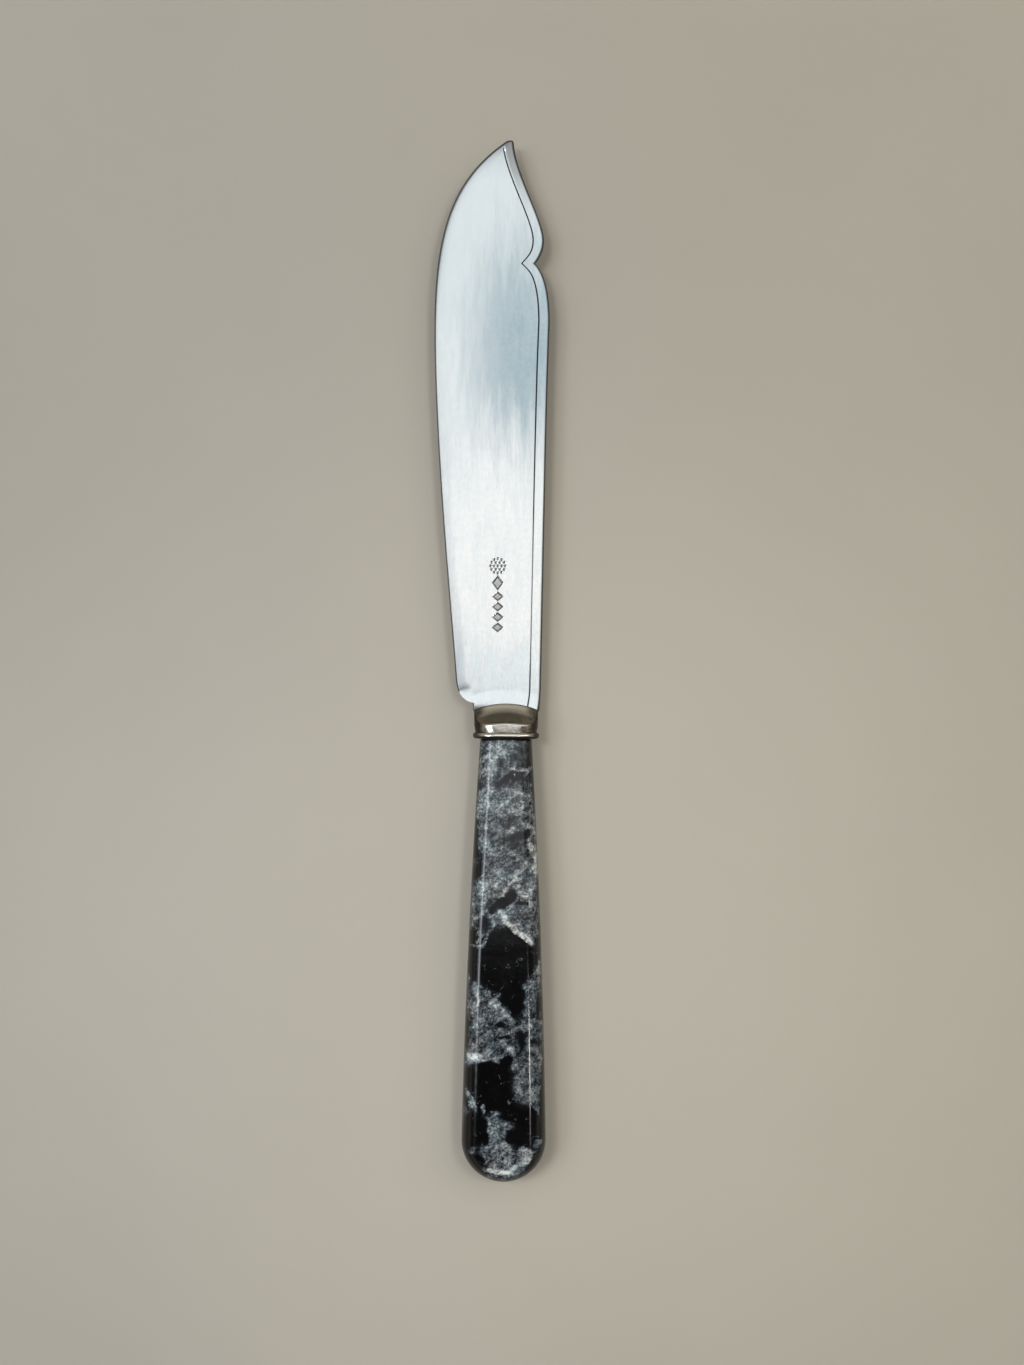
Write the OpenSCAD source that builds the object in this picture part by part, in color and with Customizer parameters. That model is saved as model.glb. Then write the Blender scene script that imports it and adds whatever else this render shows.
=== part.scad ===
// Fish knife: a silver blade with a notched back, soldered into a cast bolster
// with a moulded collar, and a flat tang cemented into a polished stone handle.
// The knife lies on its side: +Y points to the tip, +X to the back of the blade
// and +Z up. The origin is the bottom centre of the whole knife.

/* [Blade] */
// Length of the blade, from the front of the bolster to the tip
blade_len = 113.8; // [100:0.1:128]
// Reach of the cutting edge from the knife's centre line, at the belly
belly_reach = 14.9; // [12.5:0.1:17]
// Distance from the tip back to the fullest part of the belly
belly_from_tip = 36.8; // [30:0.1:44]
// Reach of the back from the centre line, at its shoulder
back_reach = 8.25; // [7.6:0.05:9.5]
// Reach of the cutting edge where the heel starts to round off
heel_reach = 10.1; // [8.6:0.1:11.4]
// Height of the rounded heel above the shoulder of the neck
heel_round = 4.4; // [3:0.1:6]
// Thickness of the blade along the engraved line
face_t = 1.6; // [1.2:0.05:2]
// Thickness of the back
back_t = 1.3; // [0.9:0.05:1.6]
// Thickness where the edge bevel meets the flat of the blade
bevel_t = 1.1; // [0.8:0.05:1.2]
// Thickness of the cutting edge, blunt as on all fish knives
edge_t = 0.5; // [0.3:0.05:0.7]
// Width of the edge bevel
bevel_w = 2.4; // [1.5:0.1:3.5]
// Width of the blunt point
tip_w = 0.8; // [0.5:0.1:1.4]

/* [Notch and line] */
// Distance from the tip back to the bottom of the notch
notch_from_tip = 24.9; // [20:0.1:29]
// Reach of the bottom of the notch from the centre line
notch_reach = 5.2; // [4.6:0.1:6]
// Reach of the lobe above the notch
lobe_reach = 7; // [6.4:0.1:7.6]
// Distance from the notch up to the fullest part of the lobe
lobe_rise = 4.7; // [3.5:0.1:6]
// Distance from the notch down to the shoulder of the back
shoulder_drop = 11.9; // [9:0.1:15]
// Distance of the engraved line from the back
line_inset = 2.1; // [1.6:0.1:2.5]
// Width of the engraved line
line_w = 0.32; // [0.2:0.02:0.45]
// Depth of the engraved line
line_d = 0.16; // [0.08:0.02:0.25]

/* [Bolster and collar] */
// Length of the bolster on the centre line, from the collar to its arched front
bolster_len = 5.9; // [5.2:0.1:7.5]
// Width of the bolster
bolster_w = 12.9; // [12.4:0.1:14]
// Thickness of the bolster at its crown
bolster_t = 10.8; // [8.4:0.1:11.2]
// Radius of the arched front, seen from above
arch_r = 16.9; // [14:0.1:22]
// Length of the sloping front face, along the knife
slope_len = 4; // [3:0.1:4.3]
// Thickness of the bolster's front lip, and of the blade where it meets it
lip_t = 2.4; // [2.1:0.05:2.8]
// Depth of the waist between the bolster's crown and the collar
waist_d = 0.35; // [0.1:0.05:0.6]
// Width of the collar
collar_w = 13.4; // [13.1:0.1:14.4]
// Thickness of the collar across the knife, on which the knife lies as on its butt
collar_h = 11.6; // [9.6:0.1:12.4]
// Height of the collar along the knife
collar_len = 1.1; // [0.8:0.05:1.5]

/* [Handle] */
// Length of the handle
handle_len = 88.9; // [80:0.1:100]
// Width of the handle at the butt
butt_w = 17; // [15.5:0.1:19]
// Width of the handle at the collar
neck_w = 10.4; // [9.8:0.1:11.6]
// Thickness of the handle at the butt
butt_t = 11.6; // [11:0.1:13]
// Thickness of the handle at the collar
neck_t = 8.4; // [7.6:0.1:9.2]
// Diameter of the hole drilled for the tang
bore_d = 5; // [4.8:0.1:5.6]
// Depth of the drilled hole past the end of the tang
bore_past = 6.25; // [2:0.25:12]
// Thickness of the cement between the collar and the handle
bed_t = 0.25; // [0.15:0.05:0.5]

/* [Tang] */
// Length of the tang below the collar
tang_len = 58; // [45:0.5:59]
// Width of the tang at the collar
tang_w = 4; // [3.4:0.1:4.2]
// Width of the tang at its end
tang_end_w = 2.4; // [2:0.1:3]
// Thickness of the tang
tang_t = 2.2; // [1.6:0.1:2.6]
// Depth of the notches that the cement grips
tang_notch_d = 0.4; // [0.2:0.05:0.5]
// Number of those notches along each side
tang_notches = 6; // [3:1:8]

/* [Hidden] */

// Depth of the blade's root tongue in the bolster, and its section
tongue_len = 3;
tongue_w = 9;
tongue_t = 1.5;
// Thickness of the silver solder round the tongue and round the tang's head
solder_t = 0.1;
// Metal left in the bolster between the tongue's slot and the tang's socket
web_t = 0.5;
// Overrun of every cut past the face that it opens
cut = 1;
// Length over which the blade thickens into the bolster's lip
flare_len = 2.1;
// Set-back of the cement bed from the edge of the handle, where it was wiped away
bed_inset = 0.35;
// Angle of the drill point at the bottom of the handle's hole
drill_angle = 118;

// Share of its thickness that the blade keeps at the tip
tip_share = 0.6;
// Exponent of the squared oval of the bolster, the collar and the cement
oval_power = 3;
// Exponent of the cove of the bolster's front: 1 is a straight slope
cove_power = 1.3;
// Part of the thickness and width that the handle's corner rounds take
corner_t_share = 0.62;
corner_w_share = 0.42;
// Most of the face, and of the strip along the back, that a bevel or a round may take
bevel_share = 0.36;
// Fullness of the handle's taper: 0 is straight
taper_bow = 0.55;
// Part of the taper over which the handle's thickness grows, and past which it lies flat
thicken_share = 0.7;
// Extra inset of the line at the notch, where it runs to a point, and how far that reaches
cusp_share = 0.22;
cusp_reach_share = 0.34;
// Share of the blade's width, from the edge, at which the line ends in the point
point_share = 0.34;
// Share of its taper that the back has done by the heel
taper_share = 0.77;
// Share of the line's depth by which the corners of the back are rounded off
round_share = 0.5;

// Handles of the outline curves: each is the share of its span's width and height
// between the span's end and the control point.
belly_shares = [[0.77, 0.207], [0, 0.5]];
edge_shares = [[0, 0.33], [0.223, 0.179]];
heel_shares = [[0.07, 0.545], [0.62, 0.034]];
point_shares = [[0.04, 0.302], [0, 0.21]];
lobe_shares = [[0, 0.338], [0.72, 0.355]];
shoulder_shares = [[0.534, 0.115], [0, 0.598]];
back_shares = [[0.44, 0.197], [0.262, 0.258]];
neck_shares = [[0, 0.5], [0.5, 0.3]];

// Number of steps of each outline curve, of the ovals and of the handle's rounds
point_steps = 18;
lobe_steps = 7;
shoulder_steps = 10;
back_steps = 16;
neck_steps = 7;
edge_steps = 30;
heel_steps = 12;
oval_steps = 48;
taper_steps = 16;
butt_steps = 14;
corner_steps = 6;
bead_steps = 8;
slope_steps = 8;
face_steps = 6;

// Places along the knife, from the end face of the handle
collar_y = bed_t;
bolster_y = collar_y + collar_len;
front_y = bolster_y + bolster_len;
arch_y = front_y - arch_r;
tip_y = front_y + blade_len;
belly_y = tip_y - belly_from_tip;
notch_y = tip_y - notch_from_tip;
lobe_y = notch_y + lobe_rise;
shoulder_y = notch_y - shoulder_drop;
tongue_y = front_y - tongue_len;
socket_y = tongue_y - solder_t - web_t;
butt_r = butt_w / 2;
butt_y = butt_r - handle_len;

// The neck of the blade is as wide as the bolster's front. The heel rounds in to it just
// above the bolster, and the neck reaches down past the arch.
neck_reach = bolster_w / 2;
neck_y = front_y + solder_t;
heel_y = neck_y + heel_round;
arch_sag = arch_r - sqrt(arch_r * arch_r - neck_reach * neck_reach);
root_y = front_y - arch_sag - cut;

// Depth of the hole in the handle, up to the drill's point
bore_len = tang_len - collar_y + bore_past;

// Bottom centre of the whole knife, which is the origin of the part
right_reach = max(back_reach, butt_r, collar_w / 2);
centre = [(right_reach - belly_reach) / 2, (tip_y - handle_len) / 2, -butt_t / 2];

function clamp(x) = min(1, max(0, x));

// One cubic span from a to b, whose handles are shares of its width and height.
function span(a, b, shares, steps) =
    let (d = b - a)
    let (p = a + [shares[0].x * d.x, shares[0].y * d.y])
    let (q = b - [shares[1].x * d.x, shares[1].y * d.y])
    [for (i = [0 : steps - 1])
        let (t = i / steps, s = 1 - t)
        s * s * s * a + 3 * s * s * t * p + 3 * s * t * t * q + t * t * t * b];

// Outline of the cutting edge, from the tip down to the neck.
heel_path = span([-heel_reach, heel_y], [-neck_reach, neck_y], heel_shares, heel_steps);
edge_path = concat(
    span([-tip_w / 2, tip_y], [-belly_reach, belly_y], belly_shares, edge_steps),
    span([-belly_reach, belly_y], [-heel_reach, heel_y], edge_shares, edge_steps),
    heel_path,
    [[-neck_reach, neck_y]]
);

// Outline of the back, from the tip down to the root.
heel_back = back_reach - (back_reach - neck_reach) * taper_share;
back_path = concat(
    [[tip_w / 2, tip_y]],
    span([tip_w, tip_y - tip_w / 2], [lobe_reach, lobe_y], point_shares, point_steps),
    span([lobe_reach, lobe_y], [notch_reach, notch_y], lobe_shares, lobe_steps),
    span([notch_reach, notch_y], [back_reach, shoulder_y], shoulder_shares, shoulder_steps),
    span([back_reach, shoulder_y], [heel_back, heel_y], back_shares, back_steps),
    span([heel_back, heel_y], [neck_reach, root_y], neck_shares, neck_steps),
    [[neck_reach, root_y]]
);

// Stations of the blade, closest together round the notch and the heel.
stations = concat(
    [for (p = back_path) if (p.y > heel_y) p.y],
    [for (p = heel_path) p.y],
    [for (i = [0 : neck_steps]) neck_y + (root_y - neck_y) * i / neck_steps]
);

// Places of the edge, of the back and of the engraved line at the station y.
function upward(path) = [for (i = [len(path) - 1 : -1 : 0]) [path[i].y, path[i].x]];
edge_at = upward(edge_path);
back_at = upward(back_path);
function edge_x(y) = lookup(y, edge_at);
function back_x(y) = lookup(y, back_at);
function line_x(y) =
    let (edge = edge_x(y), back = back_x(y), away = (y - notch_y) / (cusp_reach_share * lobe_rise))
    max(back - line_inset * (1 + cusp_share * exp(-away * away)), edge + (back - edge) * point_share);

function segment_distance(p, a, b) =
    let (d = b - a)
    let (t = clamp(((p - a) * d) / (d * d)))
    norm(p - a - t * d);

function edge_distance(p) =
    min([for (i = [0 : len(edge_path) - 2]) segment_distance(p, edge_path[i], edge_path[i + 1])]);

// Half the blade's thickness at x, y, where u runs from the edge (0) over the line (1)
// to the back (2).
function half_t(x, y, u) =
    let (bevel = clamp(edge_distance([x, y]) / bevel_w))
    let (flat = bevel_t + (face_t - bevel_t) * clamp(u))
    let (strip = face_t + (back_t - face_t) * clamp(u - 1))
    let (body = u > 1 ? strip : edge_t + (flat - edge_t) * bevel)
    let (taper = 1 - (1 - tip_share) * clamp((y - front_y) / blade_len))
    let (away = max(0, norm([x, y - arch_y]) - arch_r))
    let (flare = pow(1 - clamp(away / flare_len), 2))
    (body * taper * (1 - flare) + lip_t * flare) / 2;

// One section of the blade at the station y: across its front face and back over its rear.
function blade_ring(y) =
    let (edge = edge_x(y), back = back_x(y), line = line_x(y), half = line_w / 2)
    let (bevel = min(bevel_w, (line - edge) * bevel_share))
    let (first = edge + bevel, last = line - half)
    let (round = min(half, (back - line) * bevel_share))
    let (places = concat(
        [[edge, 0, 0]],
        [for (i = [0 : face_steps]) let (s = i / face_steps) [first + (last - first) * s, s, 0]],
        [[line, 1, 1], [line + half, 1, 0], [back - round, 2, 0], [back, 2, round_share]]
    ))
    let (tops = [for (p = places) [p.x, half_t(p.x, y, p.y) - p.z * line_d]])
    concat(
        [for (t = tops) [t.x, y, t.y]],
        [for (i = [len(tops) - 1 : -1 : 0]) [tops[i].x, y, -tops[i].y]]
    );

// Skins closed rings of equal count. Point i of a ring faces its last point less i.
module skin(rings) {
    n = len(rings[0]);
    last = (len(rings) - 1) * n;
    sides = [for (j = [0 : len(rings) - 2], i = [0 : n - 1])
        let (a = j * n + i, b = j * n + (i + 1) % n)
        each [[a, b, b + n], [a, b + n, a + n]]];
    caps = [for (i = [0 : n / 2 - 2])
        let (a = i, b = i + 1, c = n - 2 - i, d = n - 1 - i)
        each [[d, c, b], [d, b, a], [last + a, last + b, last + c], [last + a, last + c, last + d]]];
    polyhedron(points = [for (r = rings) each r], faces = concat(sides, caps), convexity = 6);
}

// Squared oval of the given width and thickness at the station y.
function oval(w, t, y) =
    [for (i = [0 : oval_steps - 1])
        let (a = 360 * (i + 0.5) / oval_steps, p = 2 / oval_power)
        [w / 2 * sign(cos(a)) * pow(abs(cos(a)), p), y, t / 2 * sign(sin(a)) * pow(abs(sin(a)), p)]];

// Stands its child, drawn upwards, along the knife from the station y.
module along(y) {
    translate([0, y, 0]) rotate([-90, 0, 0]) children();
}

// Upright disc whose rim is the bolster's arched front: a plain lip, and a cove above and
// below it that slopes back to the crown.
module front_disc() {
    rise = bolster_t / 2 - lip_t / 2;
    slope = [for (i = [0 : slope_steps])
        let (s = i / slope_steps)
        [arch_r - slope_len * s, lip_t / 2 + rise * pow(s, cove_power)]];
    crown = [arch_r - slope_len, bolster_t / 2 + cut];
    upper = concat(slope, [crown, [0, crown.y]]);
    lower = [for (i = [len(upper) - 1 : -1 : 0]) [upper[i].x, -upper[i].y]];
    translate([0, arch_y, 0]) rotate_extrude($fn = 128) polygon(concat(upper, lower));
}

// Tongue at the blade's root, or the slot for it when grown by the solder.
module tongue(grow) {
    size = [tongue_w + 2 * grow, tongue_len + cut + grow, tongue_t + 2 * grow];
    translate([-size.x / 2, tongue_y - grow, -size.z / 2]) cube(size);
}

// The blade's root, seen from above, that the bolster's front takes away.
module arch_cylinder() {
    translate([0, arch_y, -lip_t]) cylinder(h = 2 * lip_t, r = arch_r, $fn = 128);
}

module blade() {
    color("gainsboro") {
        difference() {
            skin([for (y = stations) blade_ring(y)]);
            arch_cylinder();
        }
        tongue(0);
    }
}

module blade_solder() {
    color("silver") intersection() {
        difference() {
            tongue(solder_t);
            tongue(0);
        }
        arch_cylinder();
    }
}

// Rings of the bolster, which swell from the waist at the collar to the crown.
function bolster_ring(y) =
    let (s = clamp(1 - (y - bolster_y) / (bolster_len - slope_len)))
    let (waist = 2 * waist_d * s * s)
    oval(bolster_w - waist, bolster_t - waist, y);

module bolster() {
    swell = bolster_len - slope_len;
    color("lightgray") difference() {
        intersection() {
            skin([
                for (i = [0 : bead_steps]) bolster_ring(bolster_y + swell * i / bead_steps),
                bolster_ring(front_y + cut)
            ]);
            front_disc();
        }
        tongue(solder_t);
        tang_bar(solder_t, bolster_y - cut, socket_y);
    }
}

module collar() {
    bead = collar_len / 2;
    color("lightgray") difference() {
        skin([for (i = [0 : bead_steps])
            let (a = 180 * i / bead_steps, edge = 2 * bead * (1 - sin(a)))
            oval(collar_w - edge, collar_h - edge, collar_y + bead - bead * cos(a))]);
        tang_bar(0, collar_y - cut, bolster_y + cut);
    }
}

// Straight bar of the tang's own section between two stations, grown on all sides.
module tang_bar(grow, from_y, to_y) {
    size = [tang_w + 2 * grow, to_y - from_y, tang_t + 2 * grow];
    translate([-size.x / 2, from_y, -size.z / 2]) cube(size);
}

module tang() {
    pitch = tang_len / (tang_notches + 1);
    head_y = socket_y - solder_t;
    outline = [
        [tang_w / 2, head_y], [tang_w / 2, collar_y], [tang_end_w / 2, collar_y - tang_len],
        [-tang_end_w / 2, collar_y - tang_len], [-tang_w / 2, collar_y], [-tang_w / 2, head_y],
    ];
    color("dimgray") translate([0, 0, -tang_t / 2]) linear_extrude(tang_t) difference() {
        polygon(outline);
        for (i = [1 : tang_notches], side = [-1, 1]) {
            s = (i + side / 4) / (tang_notches + 1);
            half_w = (tang_w + (tang_end_w - tang_w) * s) / 2;
            translate([side * half_w, collar_y - s * tang_len])
                rotate(45) square(tang_notch_d * sqrt(2), center = true);
        }
    }
}

module tang_solder() {
    color("silver") difference() {
        tang_bar(solder_t, bolster_y, socket_y);
        tang_bar(0, bolster_y - cut, socket_y - solder_t);
    }
}

// Hole drilled in the handle, with the point that the drill leaves.
module bore(overrun) {
    r = bore_d / 2;
    point_len = r / tan(drill_angle / 2);
    along(-bore_len) rotate_extrude($fn = 64) polygon([
        [0, -point_len], [r, 0], [r, bore_len + overrun], [0, bore_len + overrun],
    ]);
}

module cement_bed() {
    color("darkslategray") difference() {
        along(0) linear_extrude(bed_t) polygon([
            for (p = oval(neck_w - 2 * bed_inset, neck_t - 2 * bed_inset, 0)) [p.x, p.z]
        ]);
        tang_bar(0, -cut, collar_y + cut);
    }
}

module cement_core() {
    color("darkslategray") difference() {
        bore(0);
        tang();
    }
}

// Half the handle's width and thickness at the share s of its taper.
function handle_half_w(s) = (neck_w + (butt_w - neck_w) * s * (1 + taper_bow - taper_bow * s)) / 2;
function handle_half_t(s) = (neck_t + (butt_t - neck_t) * sin(90 * clamp(s / thicken_share))) / 2;

// Outline of the handle seen from above, drawn in by the corner round at the angle a, which
// is 0 on its side and 90 on its flat. It runs down its right side, round the butt and up.
// It lies on the upper half where up is 1, and on the lower half where up is -1.
function handle_ring(a, up) =
    let (draw = 1 - corner_w_share * (1 - cos(a)))
    let (rise = up * (1 - corner_t_share + corner_t_share * sin(a)))
    let (side = [for (i = [0 : taper_steps - 1])
        let (s = i / taper_steps)
        [handle_half_w(s) * draw, butt_y * s, handle_half_t(s) * rise]])
    let (end = [for (i = [0 : butt_steps - 1])
        let (b = 90 * i / (butt_steps - 0.5))
        [butt_r * draw * cos(b), butt_y - butt_r * draw * sin(b), butt_t / 2 * rise]])
    let (right = concat(side, end))
    concat(right, [for (i = [len(right) - 1 : -1 : 0]) [-right[i].x, right[i].y, right[i].z]]);

module handle() {
    color("slategray") difference() {
        skin([
            for (i = [corner_steps : -1 : 0]) handle_ring(90 * i / corner_steps, -1),
            for (i = [0 : corner_steps]) handle_ring(90 * i / corner_steps, 1)
        ]);
        bore(cut);
    }
}

// Moves the knife so that its bottom centre is the origin.
module place() {
    translate(-centre) children();
}

place() blade();
place() blade_solder();
place() bolster();
place() collar();
place() tang();
place() tang_solder();
place() cement_bed();
place() cement_core();
place() handle();
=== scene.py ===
"""Looks of the fish knife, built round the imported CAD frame.

The blade, the bolster, the collar and the handle are made again here as dense smooth
meshes, each in the place of its CAD node, and every piece gets a procedural finish.
Sizes are in millimetres on the knife's own axes: x to the notched back, y to the tip and
z up, from the middle of the handle's end face. KnifeAxes carries them into the row frame.
"""

import logging
import math
from dataclasses import dataclass, field
from enum import Enum
from typing import Sequence

import bmesh
import bpy
import numpy as np
from mathutils import Matrix, Vector


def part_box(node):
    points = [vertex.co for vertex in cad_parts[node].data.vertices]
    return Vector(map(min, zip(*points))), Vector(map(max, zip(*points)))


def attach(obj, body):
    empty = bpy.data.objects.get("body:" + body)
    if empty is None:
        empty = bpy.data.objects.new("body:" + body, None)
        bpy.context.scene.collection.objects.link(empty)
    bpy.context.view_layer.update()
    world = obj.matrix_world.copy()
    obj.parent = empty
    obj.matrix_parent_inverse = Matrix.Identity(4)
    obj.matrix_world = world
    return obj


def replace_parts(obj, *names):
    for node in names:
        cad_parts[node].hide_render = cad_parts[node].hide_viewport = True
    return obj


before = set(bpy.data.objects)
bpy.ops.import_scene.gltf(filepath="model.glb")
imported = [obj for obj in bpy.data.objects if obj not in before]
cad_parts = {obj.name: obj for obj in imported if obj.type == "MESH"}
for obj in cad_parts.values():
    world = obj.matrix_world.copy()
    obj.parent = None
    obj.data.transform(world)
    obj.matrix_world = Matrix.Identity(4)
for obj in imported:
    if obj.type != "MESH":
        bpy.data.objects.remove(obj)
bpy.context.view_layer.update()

log = logging.getLogger("fish_knife")

Vec2 = tuple[float, float]
Vec3 = tuple[float, float, float]
Rgb = tuple[float, float, float]
Socket = bpy.types.NodeSocket
Node = bpy.types.Node

METRES = 0.001
BODY = "root"
SHARP_ANGLE = math.radians(40.0)
ROUND = np.linspace(0, 2 * math.pi, 241)[:-1]
ORIGIN = (0.0, 0.0, 0.0)
MIDDLE_GREY = (0.5, 0.5, 0.5)

# The bolster's arched front, which the blade follows, and the squareness of its oval and the
# collar's, where 2 is an ellipse
ARCH_RADIUS = 16.9
OVAL_POWER = 3.0


def smooth(share: np.ndarray) -> np.ndarray:
    """Eases shares from 0 to 1, holding them at the ends."""
    held = np.clip(share, 0.0, 1.0)
    return held * held * (3.0 - 2.0 * held)


def reached(place: float, start: float, reach: float) -> float:
    """Eases from 0 at the start to 1 where the reach ends, holding it at both."""
    return float(smooth(np.array((place - start) / reach)))


def limited(value: float, low: float = 0.0, high: float = 1.0) -> float:
    """Holds a value between two limits."""
    return min(max(value, low), high)


def linear(red: int, green: int, blue: int) -> Rgb:
    """Turns a colour as seen on screen, from 0 to 255, into Blender's linear values."""
    shares = (value / 255 for value in (red, green, blue))
    return tuple(s / 12.92 if s <= 0.04045 else ((s + 0.055) / 1.055) ** 2.4 for s in shares)


# Frame and meshes


@dataclass(frozen=True)
class Box:
    """Lowest and highest corner of a CAD node, in millimetres on the knife's own axes."""

    low: Vector
    high: Vector

    @property
    def width(self) -> float:
        """Size along x."""
        return self.high.x - self.low.x

    @property
    def length(self) -> float:
        """Size along y."""
        return self.high.y - self.low.y

    @property
    def height(self) -> float:
        """Size along z."""
        return self.high.z - self.low.z


@dataclass(frozen=True)
class KnifeAxes:
    """The knife's own axes, whose origin is the middle of the handle's end face."""

    origin: Vector

    @classmethod
    def from_frame(cls) -> "KnifeAxes":
        """Finds the axes from the handle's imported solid."""
        low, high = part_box("handle")
        return cls(Vector(((low.x + high.x) / 2, high.y, (low.z + high.z) / 2)))

    def box(self, node: str) -> Box:
        """Measures a CAD node on these axes, in millimetres."""
        low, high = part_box(node)
        return Box((low - self.origin) / METRES, (high - self.origin) / METRES)

    def point(self, x: float, y: float, z: float) -> Vector:
        """Carries one point into the row frame, in metres."""
        return self.origin + Vector((x, y, z)) * METRES


@dataclass(frozen=True)
class Span:
    """One cubic stretch of an outline, whose handles are shares of its width and height."""

    start: Vec2
    end: Vec2
    start_share: Vec2
    end_share: Vec2

    def points(self, steps: int) -> np.ndarray:
        """Samples the stretch.

        Args:
            steps: Number of points, both ends included.

        Returns:
            The points, one x and y to a row.
        """
        start, end = np.array(self.start), np.array(self.end)
        reach = end - start
        first = start + np.array(self.start_share) * reach
        second = end - np.array(self.end_share) * reach
        t = np.linspace(0.0, 1.0, steps)[:, None]
        s = 1.0 - t
        return s**3 * start + 3 * s * s * t * first + 3 * s * t * t * second + t**3 * end


@dataclass
class Skin:
    """A grid of points in rows and columns, which becomes one smooth quad mesh."""

    name: str
    grid: np.ndarray
    wrap_columns: bool = True
    cap_first: bool = False
    cap_last: bool = False
    marks: dict[str, np.ndarray] = field(default_factory=dict)

    def build(self, axes: KnifeAxes) -> bpy.types.Object:
        """Makes the mesh and puts it on the knife's body.

        Args:
            axes: The knife's own axes, which the grid is measured on.

        Returns:
            The new object, smooth but for its sharp edges.
        """
        rows, columns = self.grid.shape[:2]
        points = self.grid.reshape(-1, 3) * METRES + np.array(axes.origin)
        mesh = bpy.data.meshes.new(self.name)
        mesh.from_pydata(points, [], self.faces(rows, columns))
        for mark, values in self.marks.items():
            layer = mesh.attributes.new(mark, "FLOAT", "POINT")
            layer.data.foreach_set("value", values.reshape(-1).astype(np.float32))
        self.tidy(mesh)
        piece = bpy.data.objects.new(self.name, mesh)
        bpy.context.scene.collection.objects.link(piece)
        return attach(piece, BODY)

    def faces(self, rows: int, columns: int) -> list[tuple[int, ...]]:
        """Lists the quads between the grid's points, and its caps.

        Args:
            rows: Number of rows of points.
            columns: Number of points in a row.

        Returns:
            The corners of each face.
        """
        made = []
        for here in range(0, (rows - 1) * columns, columns):
            there = here + columns
            for column in range(columns if self.wrap_columns else columns - 1):
                beside = (column + 1) % columns
                made.append((here + column, here + beside, there + beside, there + column))
        if self.cap_first:
            made.append(tuple(reversed(range(columns))))
        if self.cap_last:
            made.append(tuple(range((rows - 1) * columns, rows * columns)))
        return made

    def tidy(self, mesh: bpy.types.Mesh) -> None:
        """Merges points that fall together, turns faces outwards and smooths the mesh.

        Args:
            mesh: The mesh, which is changed in place.
        """
        work = bmesh.new()
        work.from_mesh(mesh)
        bmesh.ops.remove_doubles(work, verts=work.verts, dist=1e-7)
        bmesh.ops.dissolve_degenerate(work, edges=work.edges, dist=1e-8)
        bmesh.ops.recalc_face_normals(work, faces=work.faces)
        work.to_mesh(mesh)
        work.free()
        mesh.shade_smooth()
        mesh.set_sharp_from_angle(angle=SHARP_ANGLE)


def squared_oval(half_width: float, half_height: float) -> np.ndarray:
    """Samples the squared oval that the bolster and the collar are cut to.

    Args:
        half_width: Half its size along x.
        half_height: Half its size along z.

    Returns:
        The x and z of each point, one to a row.
    """
    across, up = np.cos(ROUND), np.sin(ROUND)
    x = half_width * np.sign(across) * np.abs(across) ** (2 / OVAL_POWER)
    z = half_height * np.sign(up) * np.abs(up) ** (2 / OVAL_POWER)
    return np.stack([x, z], axis=1)


def standing(oval: np.ndarray, y: object) -> np.ndarray:
    """Stands an oval's x and z up at y, which is one number or one for each point."""
    return np.stack([oval[:, 0], np.broadcast_to(y, len(oval)), oval[:, 1]], axis=1)


# Node helpers


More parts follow.
